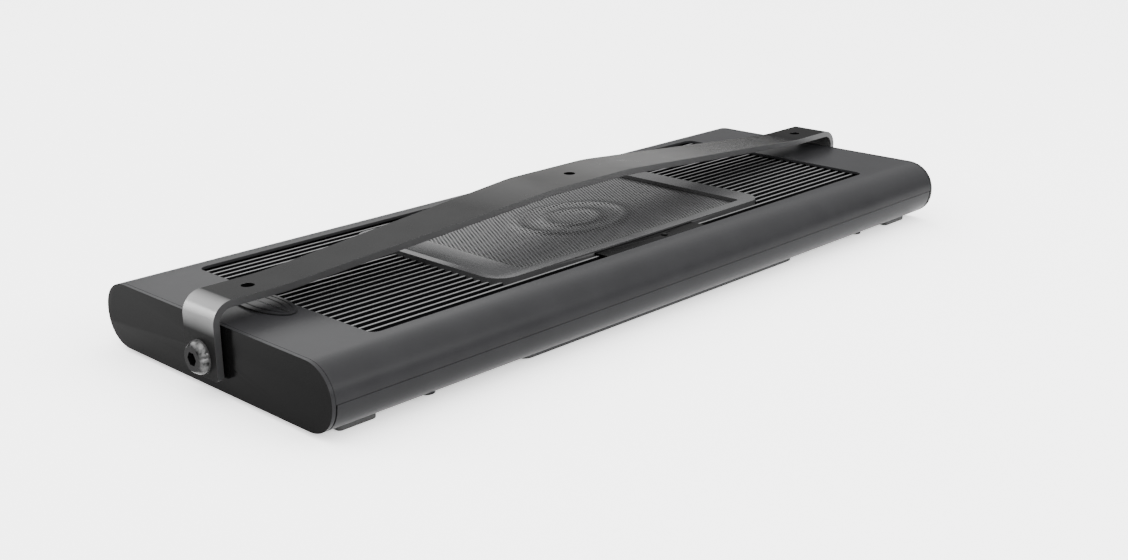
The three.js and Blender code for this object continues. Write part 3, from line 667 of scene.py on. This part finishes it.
    def copy(self, name: str, move: Iterable[float]) -> "Workpiece":
        """A copy with its own mesh, moved."""
        self.take()
        bpy.ops.object.duplicate(linked=False)
        obj = bpy.context.object
        obj.name = name
        obj.data.transform(Matrix.Translation(Vector(move)))
        return Workpiece(obj)

    def finish(self, finish: Finish, body: Body, replaces: Iterable[str] = (), smooth: float = 35.0,
               trims: Iterable[tuple[Finish, Callable[[Spot], bool]]] = ()) -> bpy.types.Object:
        """Sets the piece in the frame.

        Args:
            finish: Its finish.
            body: The body that it rides on.
            replaces: The CAD nodes that it stands for.
            smooth: The angle up to which its surface is shaded smooth.
            trims: Further finishes, each with a test in millimetres for its faces.

        Returns:
            The finished object.
        """
        self.take()
        bpy.ops.object.shade_smooth_by_angle(angle=math.radians(smooth))
        self.modify("WEIGHTED_NORMAL", keep_sharp=True, weight=80)
        self.obj.data.materials.clear()
        self.obj.data.materials.append(finish.material())
        for number, (trim, wanted) in enumerate(trims, 1):
            self.obj.data.materials.append(trim.material())
            for face in self.obj.data.polygons:
                if wanted(Spot(face.center, face.normal)):
                    face.material_index = number
        self.obj.data.transform(Matrix.Scale(MM, 4))
        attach(self.obj, body.value)
        if replaces:
            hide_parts(*replaces)
        LOG.info("%s: %d faces on %s", self.obj.name, len(self.obj.data.polygons), body.value)
        return self.obj


def upright_box(name: str, x: tuple[float, float], y: tuple[float, float], z: tuple[float, float],
                radius: float, segments: int = 8) -> Workpiece:
    """A box whose upright edges are rounded."""
    made = Workpiece.box(name, (x[0], y[0], z[0]), (x[1], y[1], z[1]))
    made.pick(Kind.EDGE, lambda spot: abs(spot.facing.z) > 0.9)
    return made.bevel(radius, segments)


# Housing


@dataclass
class Housing:
    """Top shell, lower bezel and the two end plates, which share one section with rounded sides."""

    top: Span = field(default_factory=lambda: Span.of("top_shell"))
    bottom: Span = field(default_factory=lambda: Span.of("lower_bezel"))
    nose_depth: float = 23.4
    nose_profile: float = 0.52
    nose_segments: int = 16
    wall: float = 2.0
    vent_x: tuple[float, float] = (-258.0, 248.0)
    vent_half: float = 91.0
    vent_radius: float = 6.0
    plate: float = 2.5
    spigot: float = 8.0
    boss_radius: float = 5.6
    vent_chamfer: float = 0.5
    seat_room: float = 0.3
    seat_radius: float = 8.0
    window_top: float = 12.0
    window_radius: float = 6.0
    screw_x: tuple[float, float] = (-230.0, 220.0)
    screw_y: float = 103.0
    screw_bore: float = 2.6
    pivot_bore: float = 6.4
    inlet_bore: float = 8.4
    spigot_gap: float = 0.35
    spigot_wall: float = 2.0

    @property
    def seam(self) -> float:
        """Height at which the two shells meet."""
        return (self.top.high.z + self.bottom.low.z) / 2

    def blank(self, name: str, x: tuple[float, float]) -> Workpiece:
        """A solid bar of the housing's section.

        Args:
            name: The piece's name.
            x: Where the bar begins and ends.

        Returns:
            The bar.
        """
        half = self.top.high.y
        radius = (self.top.high.z - self.bottom.low.z) / 2 - 0.05
        bar = Workpiece.box(name, (x[0], -half, self.bottom.low.z), (x[1], half, self.top.high.z))
        bar.pick(Kind.EDGE, lambda spot: abs(spot.facing.x) > 0.9)
        bar.bevel(radius, self.nose_segments, self.nose_profile)
        start = half - radius
        stretch = self.nose_depth / radius

        def widen(point: Vector) -> Vector:
            """Turns the round side into its deeper oval."""
            beyond = abs(point.y) - start
            if beyond < -0.01:
                return point
            side = math.copysign(half - self.nose_depth + beyond * stretch, point.y)
            return Vector((point.x, side, point.z))

        return bar.shape(widen)

    def shell(self, name: str, span: Span, upper: bool) -> Workpiece:
        """One half of the housing's skin, open at its ends and at the seam."""
        skin = self.blank(name, (span.low.x, span.high.x))
        skin.pick(Kind.FACE, lambda spot: abs(spot.facing.x) > 0.9).delete()
        edge = span.low.z if upper else span.high.z
        skin.all().slice((0, 0, edge), (0, 0, 1), drop_back=upper, drop_front=not upper)
        return skin.thicken(self.wall)

    def build_top(self) -> None:
        """The top shell with its long vent."""
        skin = self.shell("top_shell_body", self.top, upper=True)
        skin.cut(upright_box("vent_tool", self.vent_x, both(self.vent_half), (40, 60), self.vent_radius, 10))
        near = 0.01
        skin.pick(Kind.EDGE, lambda spot: spot.middle.z > self.top.high.z - near and abs(spot.facing.z) < 0.1
                  and abs(spot.middle.y) < self.vent_half + near
                  and self.vent_x[0] - near < spot.middle.x < self.vent_x[1] + near)
        skin.bevel(self.vent_chamfer, 3)
        skin.soften(0.12, 2, 60)
        skin.finish(Finish.CASE, Body.HOUSING, ["top_shell"])

    def build_bottom(self) -> None:
        """The lower bezel with the seat of the light frame, its window and the screw bosses."""
        skin = self.shell("lower_bezel_body", self.bottom, upper=False)
        ring, shield, room = Span.of("light_frame"), Span.of("splash_shield"), self.seat_room
        skin.cut(upright_box("seat_tool", ring.along(Axis.X, room), ring.along(Axis.Y, room),
                             (0, ring.high.z + room), self.seat_radius),
                 upright_box("window_tool", shield.along(Axis.X, room), shield.along(Axis.Y, room),
                             (0, self.window_top), self.window_radius))
        for x in self.screw_x:
            for side in SIDES:
                skin.fuse(Workpiece.drum("boss", (x, side * self.screw_y, 10.2), self.boss_radius, 11.2))
                skin.bore((x, side * self.screw_y, 13.0), self.screw_bore, 9.0, sides=20)
        skin.soften(0.2, 2)
        skin.finish(Finish.CASE, Body.HOUSING, ["lower_bezel"])

    def build_end(self, side: int) -> None:
        """One end plate with its rounded rim, the spigot inside the shells and the pivot bore."""
        word = "left" if side < 0 else "right"
        node = Span.of(f"end_plate_{word}")
        outer = node.low.x if side < 0 else node.high.x
        inner = outer - side * self.plate
        plate = self.blank(f"end_plate_{word}_body", tuple(sorted((outer, inner))))
        plate.pick(Kind.FACE, lambda spot: spot.facing.x * side < -0.9)
        plate.inset(self.wall + self.spigot_gap).extrude((-side * self.spigot, 0, 0))
        plate.inset(self.spigot_wall).extrude((side * (self.spigot - 0.5), 0, 0))
        plate.bore((outer, 0, self.seam), self.pivot_bore, 30, Axis.X, 48)
        if side > 0:
            inlet = Span.of("power_inlet")
            plate.bore((outer, inlet.middle.y, inlet.middle.z - 0.25), self.inlet_bore, 12, Axis.X, 48)
        plate.soften(0.4, 3)
        plate.finish(Finish.END_PLATE, Body.HOUSING, [f"end_plate_{word}"], trims=[
            (Finish.CASE, lambda spot: abs(spot.facing.x) < 0.6 and abs(spot.middle.x) > abs(inner) - 0.1)])

    def build(self) -> None:
        """Builds all four pieces."""
        self.build_top()
        self.build_bottom()
        for side in SIDES:
            self.build_end(side)


# Heat sink and badge


@dataclass
class HeatSink:
    """Base plate with long fins, and the pocket that the fan cover sits in."""

    span: Span = field(default_factory=lambda: Span.of("heat_sink"))
    cover: Span = field(default_factory=lambda: Span.of("fan_cover"))
    base_top: float = 20.1
    fins: int = 26
    pitch: float = 6.975
    thick: float = 2.0
    fin_round: float = 0.45
    pocket_half: float = 77.6
    pocket_floor: float = 26.0
    pocket_gap: float = 0.6
    pocket_radius: float = 16.6

    def build(self) -> None:
        """One fin is shaped and repeated, and the pocket is cut through all of them."""
        low, high = self.span.low, self.span.high
        first = -self.pitch * (self.fins - 1) / 2
        fin = Workpiece.box("fins", (low.x, first - self.thick / 2, self.base_top),
                            (high.x, first + self.thick / 2, high.z))
        fin.pick(Kind.EDGE, lambda spot: abs(spot.facing.x) > 0.9 and spot.middle.z > high.z - 0.1)
        fin.bevel(self.fin_round, 2)
        fin.repeat(self.fins, (0, self.pitch, 0))
        fin.cut(upright_box("pocket_tool", self.cover.along(Axis.X, self.pocket_gap), both(self.pocket_half),
                            (self.pocket_floor, 60), self.pocket_radius))
        base = Workpiece.box("heat_sink_body", low, (high.x, high.y, self.base_top))
        base.soften(0.8, 2)
        base.join(fin)
        base.finish(Finish.FINS, Body.HOUSING, ["heat_sink"])


@dataclass
class Badge:
    """Oval plate with a plain raised ring."""

    span: Span = field(default_factory=lambda: Span.of("badge"))
    rim: float = 2.2
    ring_inner: float = 2.4
    field_edge: float = 1.6
    sink: float = 0.3

    def build(self) -> None:
        """A drum is drawn out to an oval, and its face is stepped."""
        middle, size = self.span.middle, self.span.size
        disc = Workpiece.drum("badge_body", middle, 0.5, size.z, sides=96)
        disc.all().resize((size.x, size.y, 1), middle)
        disc.pick(Kind.FACE, lambda spot: spot.facing.z > 0.9)
        disc.inset(self.rim).extrude((0, 0, -self.sink)).inset(self.ring_inner).extrude((0, 0, self.sink))
        disc.inset(self.field_edge).extrude((0, 0, -self.sink))
        disc.soften(0.14, 2)
        disc.finish(Finish.BADGE, Body.HOUSING, ["badge"])


# Fan cover and grille


@dataclass
class FanCover:
    """Lid over the fans: a flush rim, a hollowed near band, a window, tabs and a perforated sheet."""

    span: Span = field(default_factory=lambda: Span.of("fan_cover"))
    sheet: Span = field(default_factory=lambda: Span.of("fan_grille"))
    half: float = 77.0
    radius: float = 16.0
    lid: float = 2.7
    skirt: float = 2.0
    window_x: tuple[float, float] = (-110.5, 114.7)
    window_half: float = 68.0
    scoop_radius: float = 165.0
    scoop_x: float = -110.0
    scoop_skin: float = 0.12
    tab_x: tuple[float, float] = (-56.0, 46.5)
    tab_z: tuple[float, float] = (44.2, 45.5)
    tab_screw_x: float = 8.5
    tab_screw_y: float = 84.0
    tab_bore: float = 2.4
    pitch: float = 3.0
    web: float = 0.52
    press_half: tuple[float, float] = (46.0, 34.0)
    press_height: float = 0.8
    press_lines: tuple[tuple[float, float], ...] = ((1.0, 0.11), (0.5, 0.13))

    def build(self) -> None:
        """Builds the lid and the sheet."""
        self.build_lid()
        self.build_sheet()

    def build_lid(self) -> None:
        """The lid is hollowed below, opened, scooped at its near band and given its tabs."""
        top = self.span.high.z
        lid = upright_box("fan_cover_body", self.span.along(Axis.X), both(self.half), self.span.along(Axis.Z),
                          self.radius, 12)
        lid.cut(upright_box("hollow_tool", self.span.along(Axis.X, -self.skirt), both(self.half - self.skirt),
                            (30, top - self.lid), self.radius - self.skirt, 12))
        lid.cut(upright_box("opening_tool", self.window_x, both(self.window_half), (40, 60), 3.0, 5))
        scoop_middle = top - self.lid + self.scoop_skin + self.scoop_radius
        lid.bore((self.scoop_x, 0, scoop_middle), self.scoop_radius, 2 * self.window_half, Axis.Y, 180)
        for side in SIDES:
            tab_y = tuple(sorted((side * (self.half - 1.0), side * self.span.high.y)))
            lid.fuse(upright_box("tab", self.tab_x, tab_y, self.tab_z, 0.9, 3))
            lid.bore((self.tab_screw_x, side * self.tab_screw_y, 45), self.tab_bore, 6, sides=28)
        lid.soften(0.4, 3)
        # the tabs, set lower than the lid by the shell's edge, take the near-black gloss as painted shade
        lid.finish(Finish.COVER, Body.HOUSING, ["fan_cover"], trims=[
            (Finish.END_PLATE, lambda spot: abs(spot.middle.y) > self.half + 0.05)])

    def pressed(self, point: Vector) -> Vector:
        """Raises a plain double oval in the middle of the sheet."""
        centre = (self.window_x[0] + self.window_x[1]) / 2
        reach = math.hypot((point.x - centre) / self.press_half[0], point.y / self.press_half[1])
        lift = max(math.exp(-((reach - place) / width) ** 2) for place, width in self.press_lines)
        return point + Vector((0, 0, lift * self.press_height))

    def build_sheet(self) -> None:
        """One six-sided cell is repeated in staggered rows, and a plain edge goes round the field."""
        top, thick = self.sheet.high.z, self.sheet.size.z
        reach = self.pitch / math.sqrt(3)
        columns = math.ceil((self.window_x[1] - self.window_x[0] + 4) / self.pitch)
        rows = math.ceil((2 * self.window_half + 4) / (3 * reach))
        start = Vector(((self.window_x[0] + self.window_x[1] - (columns - 0.5) * self.pitch) / 2,
                        -(rows - 0.5) * 1.5 * reach, top))
        cell = Workpiece.disc("fan_grille_body", start, reach, 6)
        cell.all().inset(self.web).delete()
        cell.join(cell.copy("second_row", (self.pitch / 2, 1.5 * reach, 0)))
        cell.repeat(columns, (self.pitch, 0, 0)).repeat(rows, (0, 3 * reach, 0))
        cell.merge(0.02)
        cell.shape(self.pressed)
        cell.outward().thicken(thick)
        edge = upright_box("sheet_edge", self.sheet.along(Axis.X), self.sheet.along(Axis.Y),
                           self.sheet.along(Axis.Z), 4, 4)
        half = rows * 1.5 * reach - 1.0
        field_x = (start.x, start.x + columns * self.pitch - 0.5)
        edge.cut(upright_box("edge_tool", field_x, both(half), (40, 50), 1, 2))
        cell.join(edge)
        cell.finish(Finish.GRILLE, Body.HOUSING, ["fan_grille"], smooth=25)


# Hanging strap


@dataclass
class HangingStrap:
    """Bent flat strap that tapers to its legs, with three hanging holes and two pivot bores."""

    span: Span = field(default_factory=lambda: Span.of("hanging_bracket"))
    thick: float = 4.5
    end_half: float = 16.4
    taper: tuple[float, float] = (39.0, 240.0)
    ramp: tuple[float, float] = (39.0, 260.0)
    blend: float = 9.0
    end_top: float = 60.5
    bend: float = 13.4
    bend_steps: int = 14
    leg_round: float = 2.5
    edge_round: float = 0.6
    hole_x: tuple[float, ...] = (-280.0, 0.0, 280.0)
    hole_radius: float = 4.25
    pivot_height: float = 24.65
    pivot_bore: float = 6.4

    def lift(self, reach: float) -> float:
        """Height of the strap over its end flats, at a distance from the middle."""
        rise = self.span.high.z - self.end_top
        slope = rise / (self.ramp[1] - self.ramp[0])
        if reach <= self.ramp[0] - self.blend:
            return rise
        if reach <= self.ramp[0] + self.blend:
            return rise - slope * (reach - self.ramp[0] + self.blend) ** 2 / (4 * self.blend)
        if reach <= self.ramp[1] - self.blend:
            return rise - slope * (reach - self.ramp[0])
        if reach <= self.ramp[1] + self.blend:
            return slope * (self.ramp[1] + self.blend - reach) ** 2 / (4 * self.blend)
        return 0.0

    def half_width(self, reach: float) -> float:
        """Half the strap's width at a distance from the middle."""
        share = (reach - self.taper[0]) / (self.taper[1] - self.taper[0])
        share = min(max(share, 0.0), 1.0)
        return self.span.high.y + (self.end_half - self.span.high.y) * share

    def formed(self, point: Vector) -> Vector:
        """Sets a point of the straight bar on the formed strap."""
        reach = abs(point.x)
        return Vector((point.x, point.y * self.half_width(reach) / self.end_half, point.z + self.lift(reach)))

    def build(self) -> None:
        """A straight bar is divided and formed, its ends are bent and drawn down, and it is drilled."""
        outer = self.span.high.x
        centre_x, centre_z = outer - self.bend, self.end_top - self.bend
        bar = Workpiece.box("hanging_strap", (-centre_x, -self.end_half, self.end_top - self.thick),
                            (centre_x, self.end_half, self.end_top))
        stations = {self.taper[0], self.taper[1]}
        for place in self.ramp:
            stations.update(place + self.blend * step / 3 for step in range(-3, 4))
        for place in sorted(stations):
            for side in SIDES:
                bar.all().slice((side * place, 0, 0), (1, 0, 0))
        bar.shape(self.formed)
        for side in SIDES:
            bar.pick(Kind.FACE, lambda spot: spot.facing.x * side > 0.9
                     and spot.middle.x * side > centre_x - 1)
            bar.spin(-side * math.pi / 2, self.bend_steps, (side * centre_x, 0, centre_z), Axis.Y)
            bar.extrude((0, 0, self.span.low.z - centre_z))
        bar.merge(0.01).outward()
        bar.pick(Kind.EDGE, lambda spot: abs(spot.facing.x) > 0.9 and spot.middle.z < self.span.low.z + 0.1
                 and abs(spot.middle.y) > self.end_half - 0.2)
        bar.bevel(self.leg_round, 6)
        for x in self.hole_x:
            bar.bore((x, 0, self.end_top + self.lift(abs(x))), self.hole_radius, 20, sides=48)
        for side in SIDES:
            bar.bore((side * outer, 0, self.pivot_height), self.pivot_bore, 20, Axis.X, 48)
        bar.soften(self.edge_round, 3, 33)

        def hole_reach(spot: Spot) -> float:
            """Distance from the axis of the nearest hanging hole."""
            return min(math.hypot(spot.middle.x - x, spot.middle.y) for x in self.hole_x)

        bar.finish(Finish.STRAP, Body.BRACKET, ["hanging_bracket"], trims=[
            # lighter tone on the side faces
            (Finish.STRAP_EDGE, lambda spot: abs(spot.facing.y) > 0.3
             and abs(spot.middle.y) > self.end_half - 0.8),
            # painted shade on the hole walls
            (Finish.STRAP_WALL, lambda spot: abs(spot.facing.z) < 0.3
             and hole_reach(spot) < self.hole_radius + 0.1),
            # painted highlight round the holes
            (Finish.STRAP_RING, lambda spot: 0.1 < spot.facing.z < 0.95
             and hole_reach(spot) < self.hole_radius + self.edge_round),
        ])


@dataclass
class Pivot:
    """Domed socket screw and washer at one end of the strap."""

    side: int
    shank: float = 6.0
    clearance: float = 0.4
    overlap: float = 0.6
    flange: float = 1.5
    dome: tuple[tuple[float, float], ...] = ((1.6, 0.965), (3.0, 0.885), (4.1, 0.81), (4.8, 0.731))
    socket: float = 8.0
    socket_depth: float = 3.8

    def build(self) -> None:
        """Builds the screw and the washer."""
        word = "left" if self.side < 0 else "right"
        self.build_screw(word)
        self.build_washer(word)

    def build_screw(self, word: str) -> None:
        """The head is drawn out of its flange in steps and broached."""
        span = Span.of(f"pivot_screw_{word}")
        radius, centre = span.size.z / 2, span.middle
        tip = span.low.x if self.side < 0 else span.high.x
        back = span.high.x if self.side < 0 else span.low.x
        seat = tip - self.side * (self.flange + self.dome[-1][0])
        middle = (seat + self.side * self.flange / 2, centre.y, centre.z)
        head = Workpiece.drum(f"pivot_screw_{word}_body", middle, radius, self.flange, Axis.X, 64)
        before, size = 0.0, 1.0
        head.pick(Kind.FACE, lambda spot: spot.facing.x * self.side > 0.9)
        for out, share in self.dome:
            head.extrude((self.side * (out - before), 0, 0)).resize((1, share / size, share / size), centre)
            before, size = out, share
        head.fuse(Workpiece.drum("shank", ((seat + back) / 2, centre.y, centre.z), self.shank,
                                 abs(seat - back) + self.overlap, Axis.X, 40))
        head.bore((tip, centre.y, centre.z), self.socket / math.sqrt(3), 2 * self.socket_depth, Axis.X, 6)
        head.soften(0.35, 3, 28)
        head.finish(Finish.BLACK_SCREW, body_of(f"pivot_screw_{word}"), [f"pivot_screw_{word}"], smooth=40)

    def build_washer(self, word: str) -> None:
        """A drilled and softened disc."""
        span = Span.of(f"pivot_washer_{word}")
        disc = Workpiece.drum(f"pivot_washer_{word}_body", span.middle, span.size.z / 2, span.size.x,
                              Axis.X, 56)
        disc.bore(span.middle, self.shank + self.clearance, 8, Axis.X, 40)
        disc.soften(0.25, 2)
        disc.finish(Finish.NYLON, body_of(f"pivot_washer_{word}"), [f"pivot_washer_{word}"])


# Underside


@dataclass
class Underside:
    """Light frame, lenses, light points and feet."""

    frame_radius: float = 8.0
    window_x: tuple[float, float] = (-126.0, 114.6)
    window_half: float = 76.0
    screw: tuple[float, float] = (132.5, 97.0)
    screw_bore: float = 3.4
    points: tuple[int, int] = (5, 6)
    pitch: float = 22.0
    lens_radius: float = 7.6
    lens_base: float = 1.8
    lens_sink: float = 1.6
    board_thick: float = 1.6
    chip: tuple[float, float, float] = (2.5, 2.5, 0.78)

    def build(self) -> None:
        """Builds every piece of the underside."""
        self.build_frame()
        for word in ("left", "right"):
            self.build_lenses(word)
            self.build_board(word)
        for node in ("foot_left_front", "foot_left_rear", "foot_right_front", "foot_right_rear"):
            self.build_foot(node)

    def build_frame(self) -> None:
        """The flat frame round the light window."""
        span = Span.of("light_frame")
        ring = upright_box("light_frame_body", span.along(Axis.X), span.along(Axis.Y), span.along(Axis.Z),
                           self.frame_radius)
        ring.cut(upright_box("light_tool", self.window_x, both(self.window_half), (0, 9), 5))
        for side in SIDES:
            ring.bore((self.screw[0], side * self.screw[1], 2), self.screw_bore, 8)
        ring.soften(0.6, 3)
        ring.finish(Finish.COVER, Body.HOUSING, ["light_frame"])

    def grid(self, piece: Workpiece) -> Workpiece:
        """Repeats a piece over the grid of light points."""
        return piece.repeat(self.points[0], (self.pitch, 0, 0)).repeat(self.points[1], (0, self.pitch, 0))

    def first(self, span: Span, z: float) -> Vector:
        """The first light point of a board."""
        return Vector((span.middle.x - self.pitch * (self.points[0] - 1) / 2,
                       -self.pitch * (self.points[1] - 1) / 2, z))

    def build_lenses(self, word: str) -> None:
        """A clear plate with a domed lens under each light point."""
        span = Span.of(f"lens_plate_{word}")
        low, high = span.low, span.high
        plate = Workpiece.box(f"lens_plate_{word}_body", (low.x, low.y, high.z - self.lens_base), high)
        plate.soften(0.5, 2)
        centre = self.first(span, high.z - self.lens_sink)
        dome = Workpiece.ball("lens", centre, self.lens_radius, 20, 12)
        dome.all().slice(centre, (0, 0, 1), drop_front=True)
        dome.all().resize((1, 1, (centre.z - low.z) / self.lens_radius), centre)
        plate.join(self.grid(dome))
        plate.finish(Finish.CLEAR, Body.HOUSING, [f"lens_plate_{word}"], smooth=50)

    def build_board(self, word: str) -> None:
        """A white board with a square light point behind each lens."""
        span = Span.of(f"led_board_{word}")
        low, high = span.low, span.high
        board = Workpiece.box(f"led_board_{word}_body", (low.x, low.y, high.z - self.board_thick), high)
        board.soften(0.3, 2)
        board.finish(Finish.LED_BOARD, Body.HOUSING, [f"led_board_{word}"])
        centre = self.first(span, low.z)
        size = Vector(self.chip)
        chip = Workpiece.box(f"light_points_{word}", centre - Vector((size.x, size.y, 0)), centre + size)
        chip.pick(Kind.FACE, lambda spot: spot.facing.z < -0.9).inset(0.7).extrude((0, 0, 0.2))
        self.grid(chip).finish(Finish.PHOSPHOR, Body.HOUSING)

    def build_foot(self, node: str) -> None:
        """A low rubber foot with bevelled ends."""
        span = Span.of(node)
        foot = upright_box(f"{node}_body", span.along(Axis.X), span.along(Axis.Y), span.along(Axis.Z), 3.0, 5)
        foot.pick(Kind.EDGE, lambda spot: spot.middle.z < 0.1).bevel(0.9, 3)
        foot.finish(Finish.RUBBER, Body.HOUSING, [node])


def body_of(node: str) -> Body:
    """The body that a CAD node rides on."""
    return Body(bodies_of(frame["nodes"][node])[0])


class Carried:
    """CAD nodes that stay as they are, and the finish of each."""

    FINISHES: ClassVar[dict[Finish, tuple[str, ...]]] = {
        Finish.BLACK_SCREW: ("tab_screw", "frame_screw"),
        Finish.FAN: ("fan_frame", "fan_rotor"),
        Finish.WINDING: ("fan_stator",),
        Finish.BRIGHT_SCREW: ("fan_screw", "chassis_screw", "inlet_nut"),
        Finish.CLEAR: ("splash_shield",),
        Finish.RUBBER: ("shield_gasket",),
        Finish.CIRCUIT: ("controller_board",),
        Finish.NYLON: ("board_post", "power_inlet"),
        Finish.CABLE: ("power_lead", "wiring_loom"),
        Finish.BRASS: ("pivot_insert",),
    }

    def dress(self) -> None:
        """Gives each node its finish."""
        for name, node in frame["nodes"].items():
            finish = next((key for key, starts in self.FINISHES.items() if name.startswith(starts)), None)
            if finish:
                node.data.materials.clear()
                node.data.materials.append(finish.material())
                LOG.info("%s keeps its shape in %s", name, finish.name.lower())


# Studio


@dataclass(frozen=True)
class Lamp:
    """One rectangular lamp that faces a point, in metres and watts."""

    name: str
    place: tuple[float, float, float]
    aim: tuple[float, float, float]
    size: tuple[float, float]
    power: float

    def hang(self) -> None:
        """Adds the lamp."""
        light = bpy.data.lights.new(self.name, "AREA")
        light.shape = "RECTANGLE"
        light.size, light.size_y = self.size
        light.energy = self.power
        lamp = bpy.data.objects.new(self.name, light)
        lamp.location = self.place
        lamp.rotation_euler = (Vector(self.aim) - Vector(self.place)).to_track_quat("-Z", "Y").to_euler()
        bpy.context.scene.collection.objects.link(lamp)


@dataclass
class Studio:
    """Floor, surround, lamps and camera."""

    camera_place: tuple[float, float, float] = (-744.0, -720.03, 336.87)
    yaw: float = 0.7737
    pitch: float = 0.3186
    roll: float = -0.0107
    lens: float = 46.54
    sensor: float = 36.0
    surround_dark: tuple[float, float, float] = (0.03, 0.03, 0.0305)
    surround_strength: float = 5.0
    surround_rise: tuple[float, float] = (0.2, 0.52)
    shaded_side: tuple[float, float] = (0.55, 0.9)
    shaded_share: float = 0.6
    floor_glow: float = 0.8
    lamps: tuple[Lamp, ...] = (
        Lamp("bend_light", (-1.44, 1.79, 0.55), (-0.31, 0, 0.05), (0.4, 1.0), 22),
        Lamp("front_light", (0.6, -1.9, 1.05), (0, 0, 0.03), (1.6, 0.5), 40),
        Lamp("near_light", (0.85, 1.5, 0.78), (-0.29, 0, 0.05), (0.8, 0.5), 2.6),
    )

    def build(self) -> None:
        """Sets up everything that isn't the object."""
        self.build_floor()
        self.build_light()
        self.build_camera()

    def build_floor(self) -> None:
        """A wide pale floor."""
        clear_bench()
        bpy.ops.mesh.primitive_plane_add(size=30, location=(0, 0, -0.0002))
        floor = bpy.context.object
        floor.name = "floor"
        graph = Graph("pale_floor")
        drift = graph.noise(3.0, 2.0)
        graph.set(Base_Color=graph.tint(drift, (0.9, 0.9, 0.9), (0.94, 0.94, 0.94)), Roughness=0.85,
                  Emission_Color=(1, 1, 1, 1), Emission_Strength=self.floor_glow)
        floor.data.materials.append(graph.material)

    def build_light(self) -> None:
        """A white surround, darker low down and to one side, and large soft lamps."""
        graph = Graph("studio", surround=True)
        rise = graph.node("ShaderNodeSeparateXYZ", output="Z", inputs={
            "Vector": graph.node("ShaderNodeTexCoord", output="Generated")})
        side = graph.node("ShaderNodeSeparateXYZ", output="X", inputs={
            "Vector": graph.node("ShaderNodeTexCoord", output="Generated")})
        share = rise.span(*self.surround_rise) * (1 - side.span(*self.shaded_side) * self.shaded_share)
        graph.set(Color=graph.tint(share, self.surround_dark, (1, 1, 1)), Strength=self.surround_strength)
        bpy.context.scene.world = graph.material
        for lamp in self.lamps:
            lamp.hang()

    def build_camera(self) -> None:
        """The camera, turned by its yaw, pitch and roll."""
        right = Vector((math.sin(self.yaw), -math.cos(self.yaw), 0))
        ahead = Vector((math.cos(self.yaw) * math.cos(self.pitch), math.sin(self.yaw) * math.cos(self.pitch),
                        -math.sin(self.pitch)))
        above = right.cross(ahead)
        turned = right * math.cos(self.roll) + above * math.sin(self.roll)
        above = above * math.cos(self.roll) - right * math.sin(self.roll)
        data = bpy.data.cameras.new("camera")
        data.lens = self.lens
        data.sensor_width = self.sensor
        data.clip_start = 0.01
        camera = bpy.data.objects.new("camera", data)
        rotation = Matrix((turned, above, -ahead)).transposed().to_4x4()
        camera.matrix_world = Matrix.Translation(Vector(self.camera_place) * MM) @ rotation
        bpy.context.scene.collection.objects.link(camera)
        bpy.context.scene.camera = camera


def main() -> None:
    """Builds the light, piece by piece, and sets the studio."""
    logging.basicConfig(level=logging.INFO, format="%(name)s: %(message)s")
    Studio().build()
    assemblies = (Housing(), HeatSink(), Badge(), FanCover(), HangingStrap(), Pivot(-1), Pivot(1), Underside())
    for assembly in assemblies:
        LOG.info("building %s", type(assembly).__name__)
        assembly.build()
    Carried().dress()
    clear_bench()


if __name__ == "__main__":
    main()
